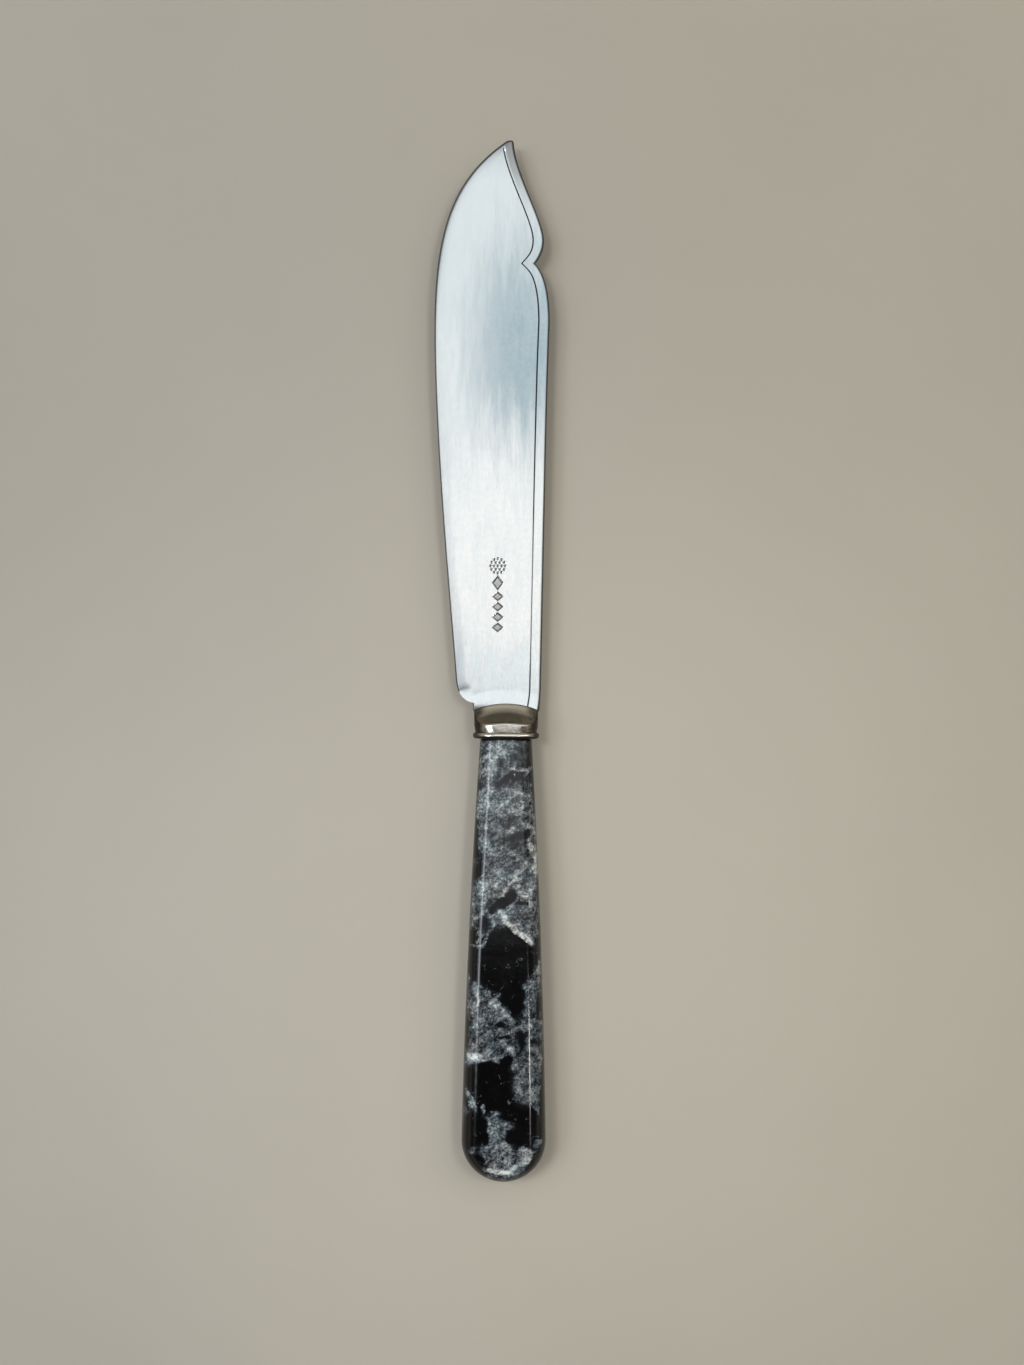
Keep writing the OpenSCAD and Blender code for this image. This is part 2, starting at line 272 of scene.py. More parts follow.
@dataclass
class Bench:
    """Adds nodes to the tree of a material, a world or a group, and joins them."""

    tree: bpy.types.NodeTree

    def add(self, kind: str, **settings: object) -> Node:
        """Adds a node.

        Args:
            kind: Blender's name of the node's type.
            **settings: Properties to set on it.

        Returns:
            The node.
        """
        node = self.tree.nodes.new(kind)
        for name, value in settings.items():
            setattr(node, name, value)
        return node

    def feed(self, socket: Socket, value: object) -> None:
        """Joins a socket to another, or sets its value.

        Args:
            socket: The input socket.
            value: An output socket, or a plain value.
        """
        if isinstance(value, bpy.types.NodeSocket):
            self.tree.links.new(value, socket)
        else:
            socket.default_value = value

    def math(self, operation: str, *values: object, clamp: bool = False) -> Socket:
        """Adds a Math node.

        Args:
            operation: Its operation.
            *values: Its inputs, in order.
            clamp: Whether the result is held from 0 to 1.

        Returns:
            Its result.
        """
        node = self.add("ShaderNodeMath", operation=operation, use_clamp=clamp)
        for socket, value in zip(node.inputs, values):
            self.feed(socket, value)
        return node.outputs[0]

    def vector(self, operation: str, *values: object) -> Socket:
        """Adds a Vector Math node.

        Args:
            operation: Its operation.
            *values: Its inputs, in order.

        Returns:
            Its vector, or its value where the operation gives one.
        """
        node = self.add("ShaderNodeVectorMath", operation=operation)
        for socket, value in zip(node.inputs, values):
            self.feed(socket, value)
        return node.outputs["Value" if operation in ("LENGTH", "DOT_PRODUCT") else "Vector"]

    def ramp(
        self, value: object, low: float, high: float, to_low: float = 0.0, to_high: float = 1.0
    ) -> Socket:
        """Eases a value from one range to another, and holds it there.

        Args:
            value: The value.
            low: Where the range starts.
            high: Where the range ends.
            to_low: What low becomes.
            to_high: What high becomes.

        Returns:
            The eased value.
        """
        node = self.add("ShaderNodeMapRange", interpolation_type="SMOOTHSTEP", clamp=False)
        for socket, part in zip(node.inputs, (value, low, high, to_low, to_high)):
            self.feed(socket, part)
        return node.outputs["Result"]

    def noise(self, vector: object, scale: float, detail: float = 4.0, rough: float = 0.5) -> Node:
        """Adds a Noise texture.

        Args:
            vector: Where it is read.
            scale: Its scale.
            detail: Its octaves.
            rough: Its roughness.

        Returns:
            The node.
        """
        node = self.add("ShaderNodeTexNoise", noise_dimensions="3D")
        for name, value in (("Vector", vector), ("Scale", scale), ("Detail", detail), ("Roughness", rough)):
            self.feed(node.inputs[name], value)
        return node

    def grain(self, vector: object, scale: float, detail: float = 4.0, rough: float = 0.5) -> Socket:
        """Adds a Noise texture, as noise does, and gives its grey value."""
        return self.noise(vector, scale, detail, rough).outputs["Fac"]

    def sway(self, noise: Node) -> Socket:
        """Turns a Noise texture's colour into a vector that swings round nothing."""
        return self.vector("SUBTRACT", noise.outputs["Color"], MIDDLE_GREY)

    def times(self, first: object, second: object) -> Socket:
        """Multiplies two values."""
        return self.math("MULTIPLY", first, second)

    def blend(self, share: object, first: object, second: object, mode: str = "MIX") -> Socket:
        """Mixes two colours.

        Args:
            share: Share of the second.
            first: The first colour.
            second: The second colour.
            mode: Blender's blend mode.

        Returns:
            The mixed colour.
        """
        node = self.add("ShaderNodeMix", data_type="RGBA", blend_type=mode)
        colours = [c if isinstance(c, bpy.types.NodeSocket) else (*c, 1.0) for c in (first, second)]
        self.feed(node.inputs["Factor"], share)
        self.feed(node.inputs[6], colours[0])
        self.feed(node.inputs[7], colours[1])
        return node.outputs[2]

    def colours(self, value: object, stops: Sequence[tuple[float, Rgb]]) -> Socket:
        """Adds a Colour Ramp.

        Args:
            value: Where on the ramp it is read.
            stops: Each stop's place and colour.

        Returns:
            The colour.
        """
        node = self.add("ShaderNodeValToRGB")
        band = node.color_ramp
        while len(band.elements) < len(stops):
            band.elements.new(1.0)
        for element, (place, colour) in zip(band.elements, stops):
            element.position = place
            element.color = (*colour, 1.0)
        self.feed(node.inputs["Fac"], value)
        return node.outputs["Color"]

    def group(self, group: bpy.types.NodeTree, **values: object) -> Node:
        """Places a node group.

        Args:
            group: The group.
            **values: Its inputs by name, with _ for each space.

        Returns:
            The group's node.
        """
        node = self.add("ShaderNodeGroup", node_tree=group)
        for name, value in values.items():
            self.feed(node.inputs[name.replace("_", " ")], value)
        return node

    def bump(
        self, height: object, distance: float, strength: float = 1.0, normal: Socket | None = None
    ) -> Socket:
        """Adds a Bump node.

        Args:
            height: The height, from 0 to 1.
            distance: What a height of 1 stands for, in millimetres.
            strength: Its strength.
            normal: The normal that it bends, if not the surface's own.

        Returns:
            The bent normal.
        """
        node = self.add("ShaderNodeBump")
        node.inputs["Strength"].default_value = strength
        node.inputs["Distance"].default_value = distance * METRES
        self.feed(node.inputs["Height"], height)
        if normal is not None:
            self.feed(node.inputs["Normal"], normal)
        return node.outputs["Normal"]


class ShaderGroup:
    """A shader node group with named inputs and one output."""

    def __init__(self, name: str, output: str, kind: str = "NodeSocketFloat", **inputs: object) -> None:
        """Makes the group with its sockets.

        Args:
            name: The group's name.
            output: Its output's name.
            kind: Its output's type.
            **inputs: What each input holds by itself, a number or a vector, with _ for each space.
        """
        self.tree = bpy.data.node_groups.new(name, "ShaderNodeTree")
        for each, value in inputs.items():
            made = self.tree.interface.new_socket(
                each.replace("_", " "),
                in_out="INPUT",
                socket_type="NodeSocketVector" if isinstance(value, tuple) else "NodeSocketFloat",
            )
            made.default_value = value
        self.tree.interface.new_socket(output, in_out="OUTPUT", socket_type=kind)
        self.bench = Bench(self.tree)
        self.inside = self.bench.add("NodeGroupInput").outputs
        self.result = self.bench.add("NodeGroupOutput").inputs[output]


class Effects:
    """The shader groups that more than one finish uses, each made once."""

    def __init__(self) -> None:
        """Makes the groups."""
        self.place = self.make_place()
        self.patch = self.make_patch()
        self.scratches = self.make_scratches()
        self.clouds = self.make_clouds()

    def make_place(self) -> bpy.types.NodeTree:
        """Makes the group that gives places in millimetres on the knife's own axes.

        Returns:
            The group, which turns Object coordinates and an Origin into a Place.
        """
        made = ShaderGroup("Knife place", "Place", "NodeSocketVector", Object=ORIGIN, Origin=ORIGIN)
        bench = made.bench
        away = bench.vector("SUBTRACT", made.inside["Object"], made.inside["Origin"])
        bench.feed(made.result, bench.vector("MULTIPLY", away, (1 / METRES,) * 3))
        return made.tree

    def make_patch(self) -> bpy.types.NodeTree:
        """Makes the group of one soft-edged patch seen from above.

        Returns:
            The group, whose Mask is 1 inside the patch.
        """
        vectors = dict.fromkeys(("Place", "Centre", "Along", "Across"), ORIGIN)
        made = ShaderGroup("Soft patch", "Mask", **vectors, Softness=0.2)
        bench = made.bench
        away = bench.vector("SUBTRACT", made.inside["Place"], made.inside["Centre"])
        along = bench.vector("DOT_PRODUCT", away, made.inside["Along"])
        across = bench.vector("DOT_PRODUCT", away, made.inside["Across"])
        square = bench.math("MULTIPLY_ADD", across, across, bench.times(along, along))
        reach = bench.math("SQRT", square)
        inner = bench.math("SUBTRACT", 1.0, made.inside["Softness"])
        outer = bench.math("ADD", 1.0, made.inside["Softness"])
        bench.feed(made.result, bench.ramp(reach, outer, inner))
        return made.tree

    def make_scratches(self) -> bpy.types.NodeTree:
        """Makes the group of fine scratches that all run about one way.

        Returns:
            The group, whose Mask is 1 on a scratch.
        """
        vectors = {"Place": ORIGIN, "Turn": ORIGIN, "Stretch": (1.0, 1.0, 1.0)}
        made = ShaderGroup("Fine scratches", "Mask", **vectors, Bend=0.3, Rarity=0.6)
        bench = made.bench
        scaled = bench.add("ShaderNodeVectorMath", operation="SCALE")
        bench.feed(scaled.inputs[0], bench.sway(bench.noise(made.inside["Place"], 0.12, 2.0)))
        bench.feed(scaled.inputs["Scale"], made.inside["Bend"])
        bent = bench.vector("ADD", made.inside["Place"], scaled.outputs[0])
        turned = bench.add("ShaderNodeVectorRotate", rotation_type="EULER_XYZ", invert=True)
        bench.feed(turned.inputs["Vector"], bent)
        bench.feed(turned.inputs["Rotation"], made.inside["Turn"])
        drawn = bench.vector("MULTIPLY", turned.outputs[0], made.inside["Stretch"])
        high = bench.math("ADD", made.inside["Rarity"], 0.08)
        lines = bench.ramp(bench.grain(drawn, 1.0, 3.0, 0.65), made.inside["Rarity"], high)
        bench.feed(made.result, lines)
        return made.tree

    def make_clouds(self) -> bpy.types.NodeTree:
        """Makes the group of soft uneven clouds, for tarnish, dust and handling marks.

        Returns:
            The group, whose Mask is 1 in the middle of a cloud.
        """
        made = ShaderGroup("Uneven clouds", "Mask", Place=ORIGIN, Per_mm=0.2, Low=0.4, High=0.7)
        bench = made.bench
        noise = bench.grain(made.inside["Place"], made.inside["Per mm"], 6.0, 0.6)
        bench.feed(made.result, bench.ramp(noise, made.inside["Low"], made.inside["High"]))
        return made.tree


@dataclass
class Finish:
    """A procedural finish. Each kind fills in the sockets of one Principled shader."""

    axes: KnifeAxes
    effects: Effects
    name = "finish"

    def __post_init__(self) -> None:
        """Makes the material and fills it in."""
        self.material = bpy.data.materials.new(self.name)
        self.material.use_nodes = True
        self.material.node_tree.nodes.clear()
        self.bench = Bench(self.material.node_tree)
        self.shader = self.bench.add("ShaderNodeBsdfPrincipled")
        output = self.bench.add("ShaderNodeOutputMaterial")
        self.bench.feed(output.inputs["Surface"], self.shader.outputs[0])
        there = self.bench.add("ShaderNodeTexCoord").outputs["Object"]
        place = self.bench.group(self.effects.place, Object=there, Origin=tuple(self.axes.origin))
        self.place = place.outputs["Place"]
        self.fill()

    def fill(self) -> None:
        """Fills in the shader's sockets."""
        raise NotImplementedError

    def set(self, **values: object) -> None:
        """Sets the shader's own sockets by name, with _ for each space."""
        for name, value in values.items():
            self.bench.feed(self.shader.inputs[name.replace("_", " ")], value)

    def mark(self, name: str) -> Socket:
        """Reads a mark that the mesh carries, which is 0 where a mesh has no such mark."""
        return self.bench.add("ShaderNodeAttribute", attribute_name=name).outputs["Fac"]

    def patch(self, place: Socket, centre: Vec2, half: Vec2, turn: float, soft: float) -> Socket:
        """Places one soft patch.

        Args:
            place: Where it is read.
            centre: Its centre.
            half: Half its length and half its width.
            turn: Angle of its length from the x axis, in degrees.
            soft: Softness of its edge.

        Returns:
            Its mask.
        """
        cos, sin = math.cos(math.radians(turn)), math.sin(math.radians(turn))
        node = self.bench.group(
            self.effects.patch,
            Place=place,
            Centre=(*centre, 0.0),
            Along=(cos / half[0], sin / half[0], 0.0),
            Across=(-sin / half[1], cos / half[1], 0.0),
            Softness=soft,
        )
        return node.outputs["Mask"]

    def scratch(self, stretch: Vec3, turn: float, bend: float, rarity: float) -> Socket:
        """Places one set of scratches.

        Args:
            stretch: How fast they change across, along and through, per millimetre.
            turn: Their angle from the knife's length, in degrees.
            bend: How far they sway, in millimetres.
            rarity: The higher, the fewer.

        Returns:
            Their mask.
        """
        node = self.bench.group(
            self.effects.scratches,
            Place=self.place,
            Turn=(0.0, 0.0, math.radians(turn)),
            Stretch=stretch,
            Bend=bend,
            Rarity=rarity,
        )
        return node.outputs["Mask"]

    def clouds(self, per_mm: float, low: float, high: float, place: Socket | None = None) -> Socket:
        """Places one set of soft clouds.

        Args:
            per_mm: How fine they are, per millimetre.
            low: The noise at which a cloud starts.
            high: The noise at which it is full.
            place: Where they are read, if not at the plain place.

        Returns:
            Their mask.
        """
        where = self.place if place is None else place
        node = self.bench.group(self.effects.clouds, Place=where, Per_mm=per_mm, Low=low, High=high)
        return node.outputs["Mask"]

    def stained(self, colour: object, *layers: tuple[Socket, float, Rgb]) -> Socket:
        """Lays other tones over a colour, one after another.

        Args:
            colour: The colour below.
            *layers: Each tone's mask, its greatest share and its colour.

        Returns:
            The stained colour.
        """
        for mask, share, tone in layers:
            colour = self.bench.blend(self.bench.times(mask, share), colour, tone)
        return colour

    def dress(self, piece: bpy.types.Object, slot: str | None = None) -> None:
        """Puts the finish on a piece.

        Args:
            piece: The piece.
            slot: The record's material slot that a new piece stands for; not used.
        """
        piece.data.materials.clear()
        piece.data.materials.append(self.material)


class TarnishAndShade(Enum):
    """How far the dark marks cover the silver: tarnish and painted shade in its hollows and creases, and
    painted shade along the blade's rim.
    """

    HOLLOW = 0.9
    RIM_SHADE = 0.92


@dataclass(frozen=True)
class ReflectionPatch:
    """A painted reflection on the blade's silver: a soft cloud of another tone that stands in for what the
    satin face mirrors.
    """

    centre: Vec2
    half: Vec2
    turn: float
    soft: float
    colour: Rgb


class BladeSilver(Finish):
    """Satin silver, cleaned and scratched for many years, with clouds of old tarnish, soft patches of
    painted reflection, and painted shade along its rim and on its back strip near the tip.
    """

    name = "blade_silver"
    silver: Rgb = (0.82, 0.86, 0.86)
    tarnish: Rgb = (0.1, 0.085, 0.07)
    rim_shade_colour: Rgb = (0.03, 0.024, 0.018)
    # Painted reflections of what the satin face mirrors: a dim cloud over the upper blade, a dark blue-grey
    # patch below the notch, a bright patch round the punch marks and a pale blue one by the root.
    painted_reflections = (
        ReflectionPatch((-2.0, 104.0), (30.0, 24.0), 0.0, 0.45, (0.74, 0.8, 0.81)),
        ReflectionPatch((3.2, 79.0), (19.0, 9.5), 90.0, 0.75, (0.35, 0.45, 0.5)),
        ReflectionPatch((-1.0, 34.0), (22.0, 17.0), 90.0, 0.6, (0.99, 0.99, 0.97)),
        ReflectionPatch((-1.0, 11.0), (12.0, 6.0), 0.0, 0.5, (0.86, 0.91, 0.92)),
    )

    def fill(self) -> None:
        """Fills in the shader's sockets."""
        bench = self.bench
        noise = bench.noise(bench.vector("MULTIPLY", self.place, (0.7, 0.09, 0.3)), 1.0, 4.0, 0.65)
        away = bench.vector("MULTIPLY", bench.sway(noise), (10.0, 26.0, 0.0))
        place = bench.vector("ADD", self.place, away)
        streaks = bench.ramp(noise.outputs["Fac"], 0.36, 0.64)
        colour = self.silver
        for tint in self.painted_reflections:
            mask = self.patch(place, tint.centre, tint.half, tint.turn, tint.soft)
            colour = bench.blend(mask, colour, tint.colour)

        drawn = self.scratch((14.0, 0.5, 4.0), 0.0, 0.5, 0.52)
        fine = self.scratch((30.0, 0.9, 8.0), 2.0, 0.4, 0.5)
        slanted = self.scratch((11.0, 0.28, 4.0), 38.0, 2.5, 0.66)
        crossed = self.scratch((9.0, 0.22, 4.0), -52.0, 3.0, 0.68)
        level = self.scratch((8.0, 0.35, 4.0), 84.0, 2.0, 0.66)
        brushed = bench.times(bench.math("ADD", drawn, fine), 0.5)
        stray = bench.math("MAXIMUM", slanted, bench.math("MAXIMUM", crossed, level))
        clouds = self.clouds(0.16, 0.42, 0.66, place)
        worn = self.clouds(0.9, 0.45, 0.62)
        mottle = bench.ramp(bench.grain(self.place, 1.2, 5.0, 0.75), 0.36, 0.64)
        # Tarnish in the engraved line and the punch marks, with painted shade on the back strip near the
        # tip; and painted shade along the blade's rim and its rounded edges.
        tarnish_and_shade = bench.times(self.mark("tarnish_and_shade"), TarnishAndShade.HOLLOW.value)
        rim = bench.times(bench.ramp(self.mark("rim"), 0.0, 0.8), TarnishAndShade.RIM_SHADE.value)
        colour = self.stained(
            colour,
            (clouds, 0.14, (0.7, 0.76, 0.8)),
            (mottle, 0.16, (0.62, 0.7, 0.75)),
            (streaks, 0.14, (0.64, 0.72, 0.77)),
            (brushed, 0.22, (0.6, 0.66, 0.69)),
            (stray, 0.3, (0.97, 0.98, 0.98)),
        )
        colour = bench.blend(tarnish_and_shade, colour, self.tarnish)
        colour = bench.blend(rim, colour, self.rim_shade_colour)

        rough = bench.math("MULTIPLY_ADD", clouds, 0.04, 0.13)
        rough = bench.math("MULTIPLY_ADD", worn, -0.02, rough)
        rough = bench.math("MULTIPLY_ADD", brushed, 0.03, rough)
        rough = bench.math("MULTIPLY_ADD", bench.math("MAXIMUM", rim, tarnish_and_shade), 0.35, rough)
        normal = bench.bump(brushed, 0.001, 0.5)
        normal = bench.bump(stray, 0.003, 0.5, normal)
        normal = bench.bump(bench.grain(self.place, 0.09, 2.0), 0.12, 0.5, normal)
        self.set(Base_Color=colour, Roughness=rough, Normal=normal, Metallic=1.0)


class PolishedSilver(Finish):
    """Bright silver of the bolster and the collar, with cloudy tarnish, and painted shade in their creases,
    on their flanks, down the bolster's sloping front and under the collar's bead.
    """

    name = "bolster_silver"
    silver: Rgb = (0.86, 0.83, 0.76)
    tarnish: Rgb = (0.035, 0.027, 0.02)
    warm: Rgb = (0.72, 0.64, 0.5)
    shade_brown: Rgb = (0.13, 0.108, 0.078)

    def fill(self) -> None:
        """Fills in the shader's sockets."""
        bench = self.bench
        clouds = self.clouds(0.5, 0.4, 0.66)
        # Cloudy tarnish, added to the painted shade that the meshes mark in creases and on flanks.
        edge = bench.math("MULTIPLY_ADD", clouds, 0.35, self.mark("tarnish_and_shade"))
        tarnish_and_shade = bench.times(bench.ramp(edge, 0.3, 1.05), TarnishAndShade.HOLLOW.value)
        colour = self.stained(
            self.silver,
            (clouds, 0.35, self.warm),
            (self.clouds(2.6, 0.58, 0.7), 0.25, self.warm),
            # The shade mark paints shade down the bolster's front, on the flanks and under the collar's
            # bead.
            (self.mark("shade"), 0.9, self.shade_brown),
        )
        colour = bench.blend(tarnish_and_shade, colour, self.tarnish)
        rough = bench.math("MULTIPLY_ADD", clouds, 0.08, 0.13)
        rough = bench.math("MULTIPLY_ADD", tarnish_and_shade, 0.4, rough)
        normal = bench.bump(self.scratch((9.0, 0.5, 3.0), 80.0, 1.0, 0.62), 0.008, 0.5)
        normal = bench.bump(clouds, 0.02, 0.4, normal)
        self.set(Base_Color=colour, Roughness=rough, Normal=normal, Metallic=1.0)


@dataclass(frozen=True)
class Vein:
    """One patch of the stone: where it lies, how large and turned it is, and its tone."""

    x: float
    y: float
    turn: float
    half_length: float
    half_width: float
    tone: float
    soft: float = 0.3


class MarbledStone(Finish):
    """Polished stone of the handle: grey and granular, with black rifts and white veins, two of which are
    painted highlights, and painted shade towards its outline.
    """

    name = "handle_stone"
    grey_tone = 0.455
    edge_shade_colour: Rgb = (0.002, 0.002, 0.003)
    rifts = (
        (3.0, -68.0, 90, 22.0, 9.0, 0.39, 0.8), (4.3, -4.6, 78, 5.0, 2.2, 0.2, 0.9),
        (-3.6, -9.2, 4, 2.6, 0.9, 0.08, 0.8), (-1.4, -8.6, 24, 2.8, 0.8, 0.14, 0.9),
        (1.3, -7.5, 8, 1.8, 0.7, 0.08, 0.7), (3.6, -2.0, 36, 3.4, 1.5, 0.22, 0.9),
        (-3.9, -1.4, 80, 1.6, 0.9, 0.27, 0.7), (4.9, -9.0, -62, 2.8, 0.8, 0.3, 0.8),
        (-1.6, -5.0, 38, 3.4, 0.5, 0.33, 0.9), (-0.3, -6.6, 30, 2.6, 0.4, 0.33, 0.9),
        (-2.4, -3.4, 45, 1.8, 0.4, 0.33, 0.9), (5.7, -9.7, 92, 3.9, 0.5, 0.1, 0.5),
        (4.5, -13.8, 0, 0.6, 0.5, 0.1, 0.5), (-2.6, -14.9, 30, 3.0, 0.5, 0.33, 0.9),
        (3.2, -15.6, -20, 2.6, 0.7, 0.34, 0.9), (1.0, -21.6, 10, 3.4, 0.8, 0.36, 0.9),
        (-6.2, -19.4, 91, 4.4, 0.8, 0.0, 0.25), (2.3, -19.3, 14, 2.6, 0.9, 0.14, 0.7),
        (-0.4, -16.6, 20, 3.2, 0.5, 0.3, 0.9), (4.5, -18.6, 90, 1.0, 0.35, 0.14, 0.5),
        (1.9, -23.9, 0, 0.5, 0.4, 0.14, 0.5), (-5.5, -26.0, 80, 2.6, 0.9, 0.12, 0.7),
        (-0.1, -32.2, 42, 3.0, 1.15, 0.0, 0.18), (-1.9, -33.7, 40, 1.1, 0.8, 0.0, 0.3),
        (3.2, -32.5, 0, 1.4, 0.3, 0.1, 0.6), (7.2, -34.0, 92, 8.5, 0.5, 0.0, 0.3),
        (-4.2, -36.4, 60, 1.8, 1.0, 0.14, 0.5), (-0.2, -43.9, 0, 5.9, 6.6, 0.0, 0.1),
        (5.7, -42.9, 75, 3.4, 1.5, 0.0, 0.2), (1.7, -50.6, 98, 4.9, 2.4, 0.0, 0.16),
        (-6.5, -44.5, 90, 4.4, 0.7, 0.0, 0.3), (-6.2, -39.4, 80, 1.8, 0.7, 0.0, 0.3),
        (-5.4, -45.2, 90, 3.0, 2.2, 0.0, 0.2), (-0.9, -56.8, 0, 0.8, 0.5, 0.08, 0.5),
        (0.2, -59.3, 0, 1.3, 0.5, 0.05, 0.5), (3.4, -59.8, 100, 2.0, 0.8, 0.05, 0.4),
        (7.0, -53.9, 90, 2.3, 0.8, 0.0, 0.3), (6.4, -60.1, 0, 1.1, 0.5, 0.05, 0.5),
        (-7.7, -58.0, 89, 4.4, 0.5, 0.0, 0.4), (-3.3, -69.4, 0, 6.0, 5.3, 0.0, 0.1),
        (0.3, -64.4, 62, 2.3, 1.1, 0.0, 0.2), (2.7, -75.2, -30, 4.6, 3.2, 0.0, 0.14),
        (-5.8, -78.3, 90, 4.4, 2.8, 0.0, 0.16), (4.8, -79.4, 0, 4.4, 2.9, 0.02, 0.16),
        (-5.9, -84.2, -50, 3.4, 1.9, 0.0, 0.22), (6.4, -84.4, 52, 3.4, 1.2, 0.0, 0.25),
        (8.0, -72.0, 90, 9.5, 0.8, 0.0, 0.2),
    )
    # The upright pale veins at (-5.6, -52.6) and (5.0, -30.5) are painted highlights along the handle's
    # rounded corners.
    veins = (
        (-2.9, -6.3, 70, 2.0, 1.0, 0.72, 0.9), (-2.2, -11.4, 10, 3.0, 1.6, 0.66, 0.9),
        (1.6, -10.6, -12, 2.6, 0.7, 0.6, 0.8), (-1.2, -11.6, 20, 2.2, 0.6, 0.62, 0.8),
        (0.4, -18.0, 16, 2.4, 0.4, 0.6, 0.8), (-1.4, -2.2, -40, 2.2, 1.1, 0.62, 0.7),
        (-3.7, -12.2, 90, 2.8, 2.0, 0.6, 0.6), (-3.4, -5.0, 88, 3.4, 1.3, 0.58, 0.9),
        (0.6, -13.0, 0, 4.2, 1.5, 0.57, 0.8), (2.6, -5.9, -10, 1.8, 0.35, 0.7, 0.6),
        (4.6, -6.2, 50, 0.8, 0.35, 0.68, 0.6), (1.76, -7.14, 0, 0.3, 0.26, 1.0, 0.4),
        (6.0, -19.0, 91, 3.8, 0.4, 0.62, 0.5), (5.6, -22.6, 112, 2.4, 0.5, 0.8, 0.5),
        (6.1, -25.8, 90, 1.2, 0.8, 0.78, 0.5), (1.4, -28.1, 50, 4.4, 0.5, 0.64, 0.7),
        (-0.4, -35.4, -60, 1.7, 0.9, 0.72, 0.6), (3.1, -38.6, -40, 3.7, 0.75, 0.72, 0.4),
        (5.0, -30.5, 90, 4.6, 0.6, 0.66, 0.8), (-4.6, -31.6, 90, 2.8, 0.7, 0.64, 0.8),
        (-2.9, -37.6, 52, 1.5, 0.35, 0.6, 0.5), (-4.2, -40.3, 62, 1.4, 0.35, 0.66, 0.5),
        (-6.0, -41.3, 8, 1.3, 0.28, 0.55, 0.5), (-5.6, -52.6, 88, 3.6, 0.5, 0.66, 0.8),
        (-1.5, -52.8, -45, 2.6, 0.8, 0.64, 0.8), (-6.0, -63.1, 0, 1.3, 0.7, 0.74, 0.7),
        (-3.2, -63.5, 12, 3.0, 0.35, 0.6, 0.8), (1.0, -61.4, -60, 2.0, 0.6, 0.66, 0.7),
        (3.6, -69.0, 90, 3.0, 1.6, 0.5, 0.8), (-7.2, -70.9, -70, 1.7, 0.7, 0.5, 0.5),
        (-6.1, -72.9, -70, 1.4, 0.7, 0.7, 0.5), (-4.1, -73.6, 80, 0.9, 0.35, 0.66, 0.5),
        (-1.7, -74.3, 0, 1.2, 0.6, 0.56, 0.5), (-1.4, -76.2, 90, 1.3, 0.8, 0.52, 0.5),
        (-2.3, -78.3, 100, 1.9, 1.0, 0.52, 0.4), (0.8, -76.9, -5, 1.5, 0.8, 0.5, 0.5),
        (-1.9, -81.5, 3, 3.8, 1.2, 0.46, 0.5), (-5.4, -82.0, 10, 1.7, 0.7, 0.38, 0.6),
        (-0.8, -84.4, 0, 2.9, 1.2, 0.48, 0.5), (4.1, -83.0, 60, 1.9, 1.6, 0.6, 0.35),
        (4.6, -83.4, 60, 1.0, 0.9, 0.74, 0.6), (-1.0, -86.2, -6, 2.8, 0.6, 0.95, 0.5),
        (2.4, -85.3, 15, 1.6, 0.35, 0.74, 0.6), (6.7, -80.5, 40, 1.3, 0.9, 0.44, 0.4),
    )

    def fill(self) -> None:
        """Fills in the shader's sockets."""
        bench = self.bench
        place = self.slanted(self.place)
        place = self.frayed(place, 0.4, 1.25)
        place = self.frayed(place, 2.2, 0.42)
        tone = self.grey_tone
        for vein in (Vein(*row) for row in (*self.rifts, *self.veins)):
            half = (vein.half_length, vein.half_width)
            mask = self.patch(place, (vein.x, vein.y), half, vein.turn, vein.soft)
            tone = self.mix(mask, tone, vein.tone)

        stony = bench.ramp(tone, 0.1, 0.36)
        grain = bench.grain(self.place, 1.9, 4.0, 0.75)
        cloudy = bench.grain(self.place, 0.5, 4.0, 0.6)
        shift = bench.math("ADD", self.swing(grain, 0.42), self.swing(self.streaks(), 0.28))
        shift = bench.math("ADD", shift, self.swing(cloudy, 0.36))
        shift = bench.math("ADD", shift, self.crystals())
        share = bench.math("MULTIPLY_ADD", stony, 0.9, 0.06)
        tone = bench.math("MULTIPLY_ADD", shift, share, tone)
        tone = bench.math("MAXIMUM", tone, self.threads(), clamp=True)

        stops = (
            (0.0, (0.0012, 0.0012, 0.0015)),
            (0.2, (0.008, 0.009, 0.011)),
            (0.42, (0.06, 0.068, 0.076)),
            (0.6, (0.175, 0.19, 0.197)),
            (0.78, (0.4, 0.41, 0.4)),
            (1.0, (0.85, 0.84, 0.8)),
        )
        colour = bench.colours(tone, stops)
        warmth = bench.ramp(bench.grain(self.place, 0.16, 2.0), 0.42, 0.6)
        tint = bench.blend(warmth, (0.9, 1.0, 1.05), (0.99, 0.99, 0.98))
        colour = bench.blend(1.0, colour, tint, "MULTIPLY")
        # Painted shade: the stone darkens towards black where its surface turns away from the view, along
        # its steep flanks.
        turned = bench.ramp(bench.add("ShaderNodeLayerWeight").outputs["Facing"], 0.4, 0.85)
        colour = self.stained(colour, (turned, 0.85, self.edge_shade_colour))
        pits = bench.ramp(grain, 0.62, 0.72)
        handled = self.clouds(0.3, 0.4, 0.7)
        rough = bench.math("MULTIPLY_ADD", bench.times(pits, stony), 0.16, 0.1)
        rough = bench.math("MULTIPLY_ADD", handled, 0.04, rough)
        normal = bench.bump(bench.math("SUBTRACT", 1.0, pits), 0.015, 0.35)
        waves = bench.grain(self.place, 0.25, 2.0)
        normal = bench.bump(waves, 0.06, 0.5, normal)
        self.set(Base_Color=colour, Roughness=rough, Normal=normal, IOR=1.5, Specular_IOR_Level=0.5)

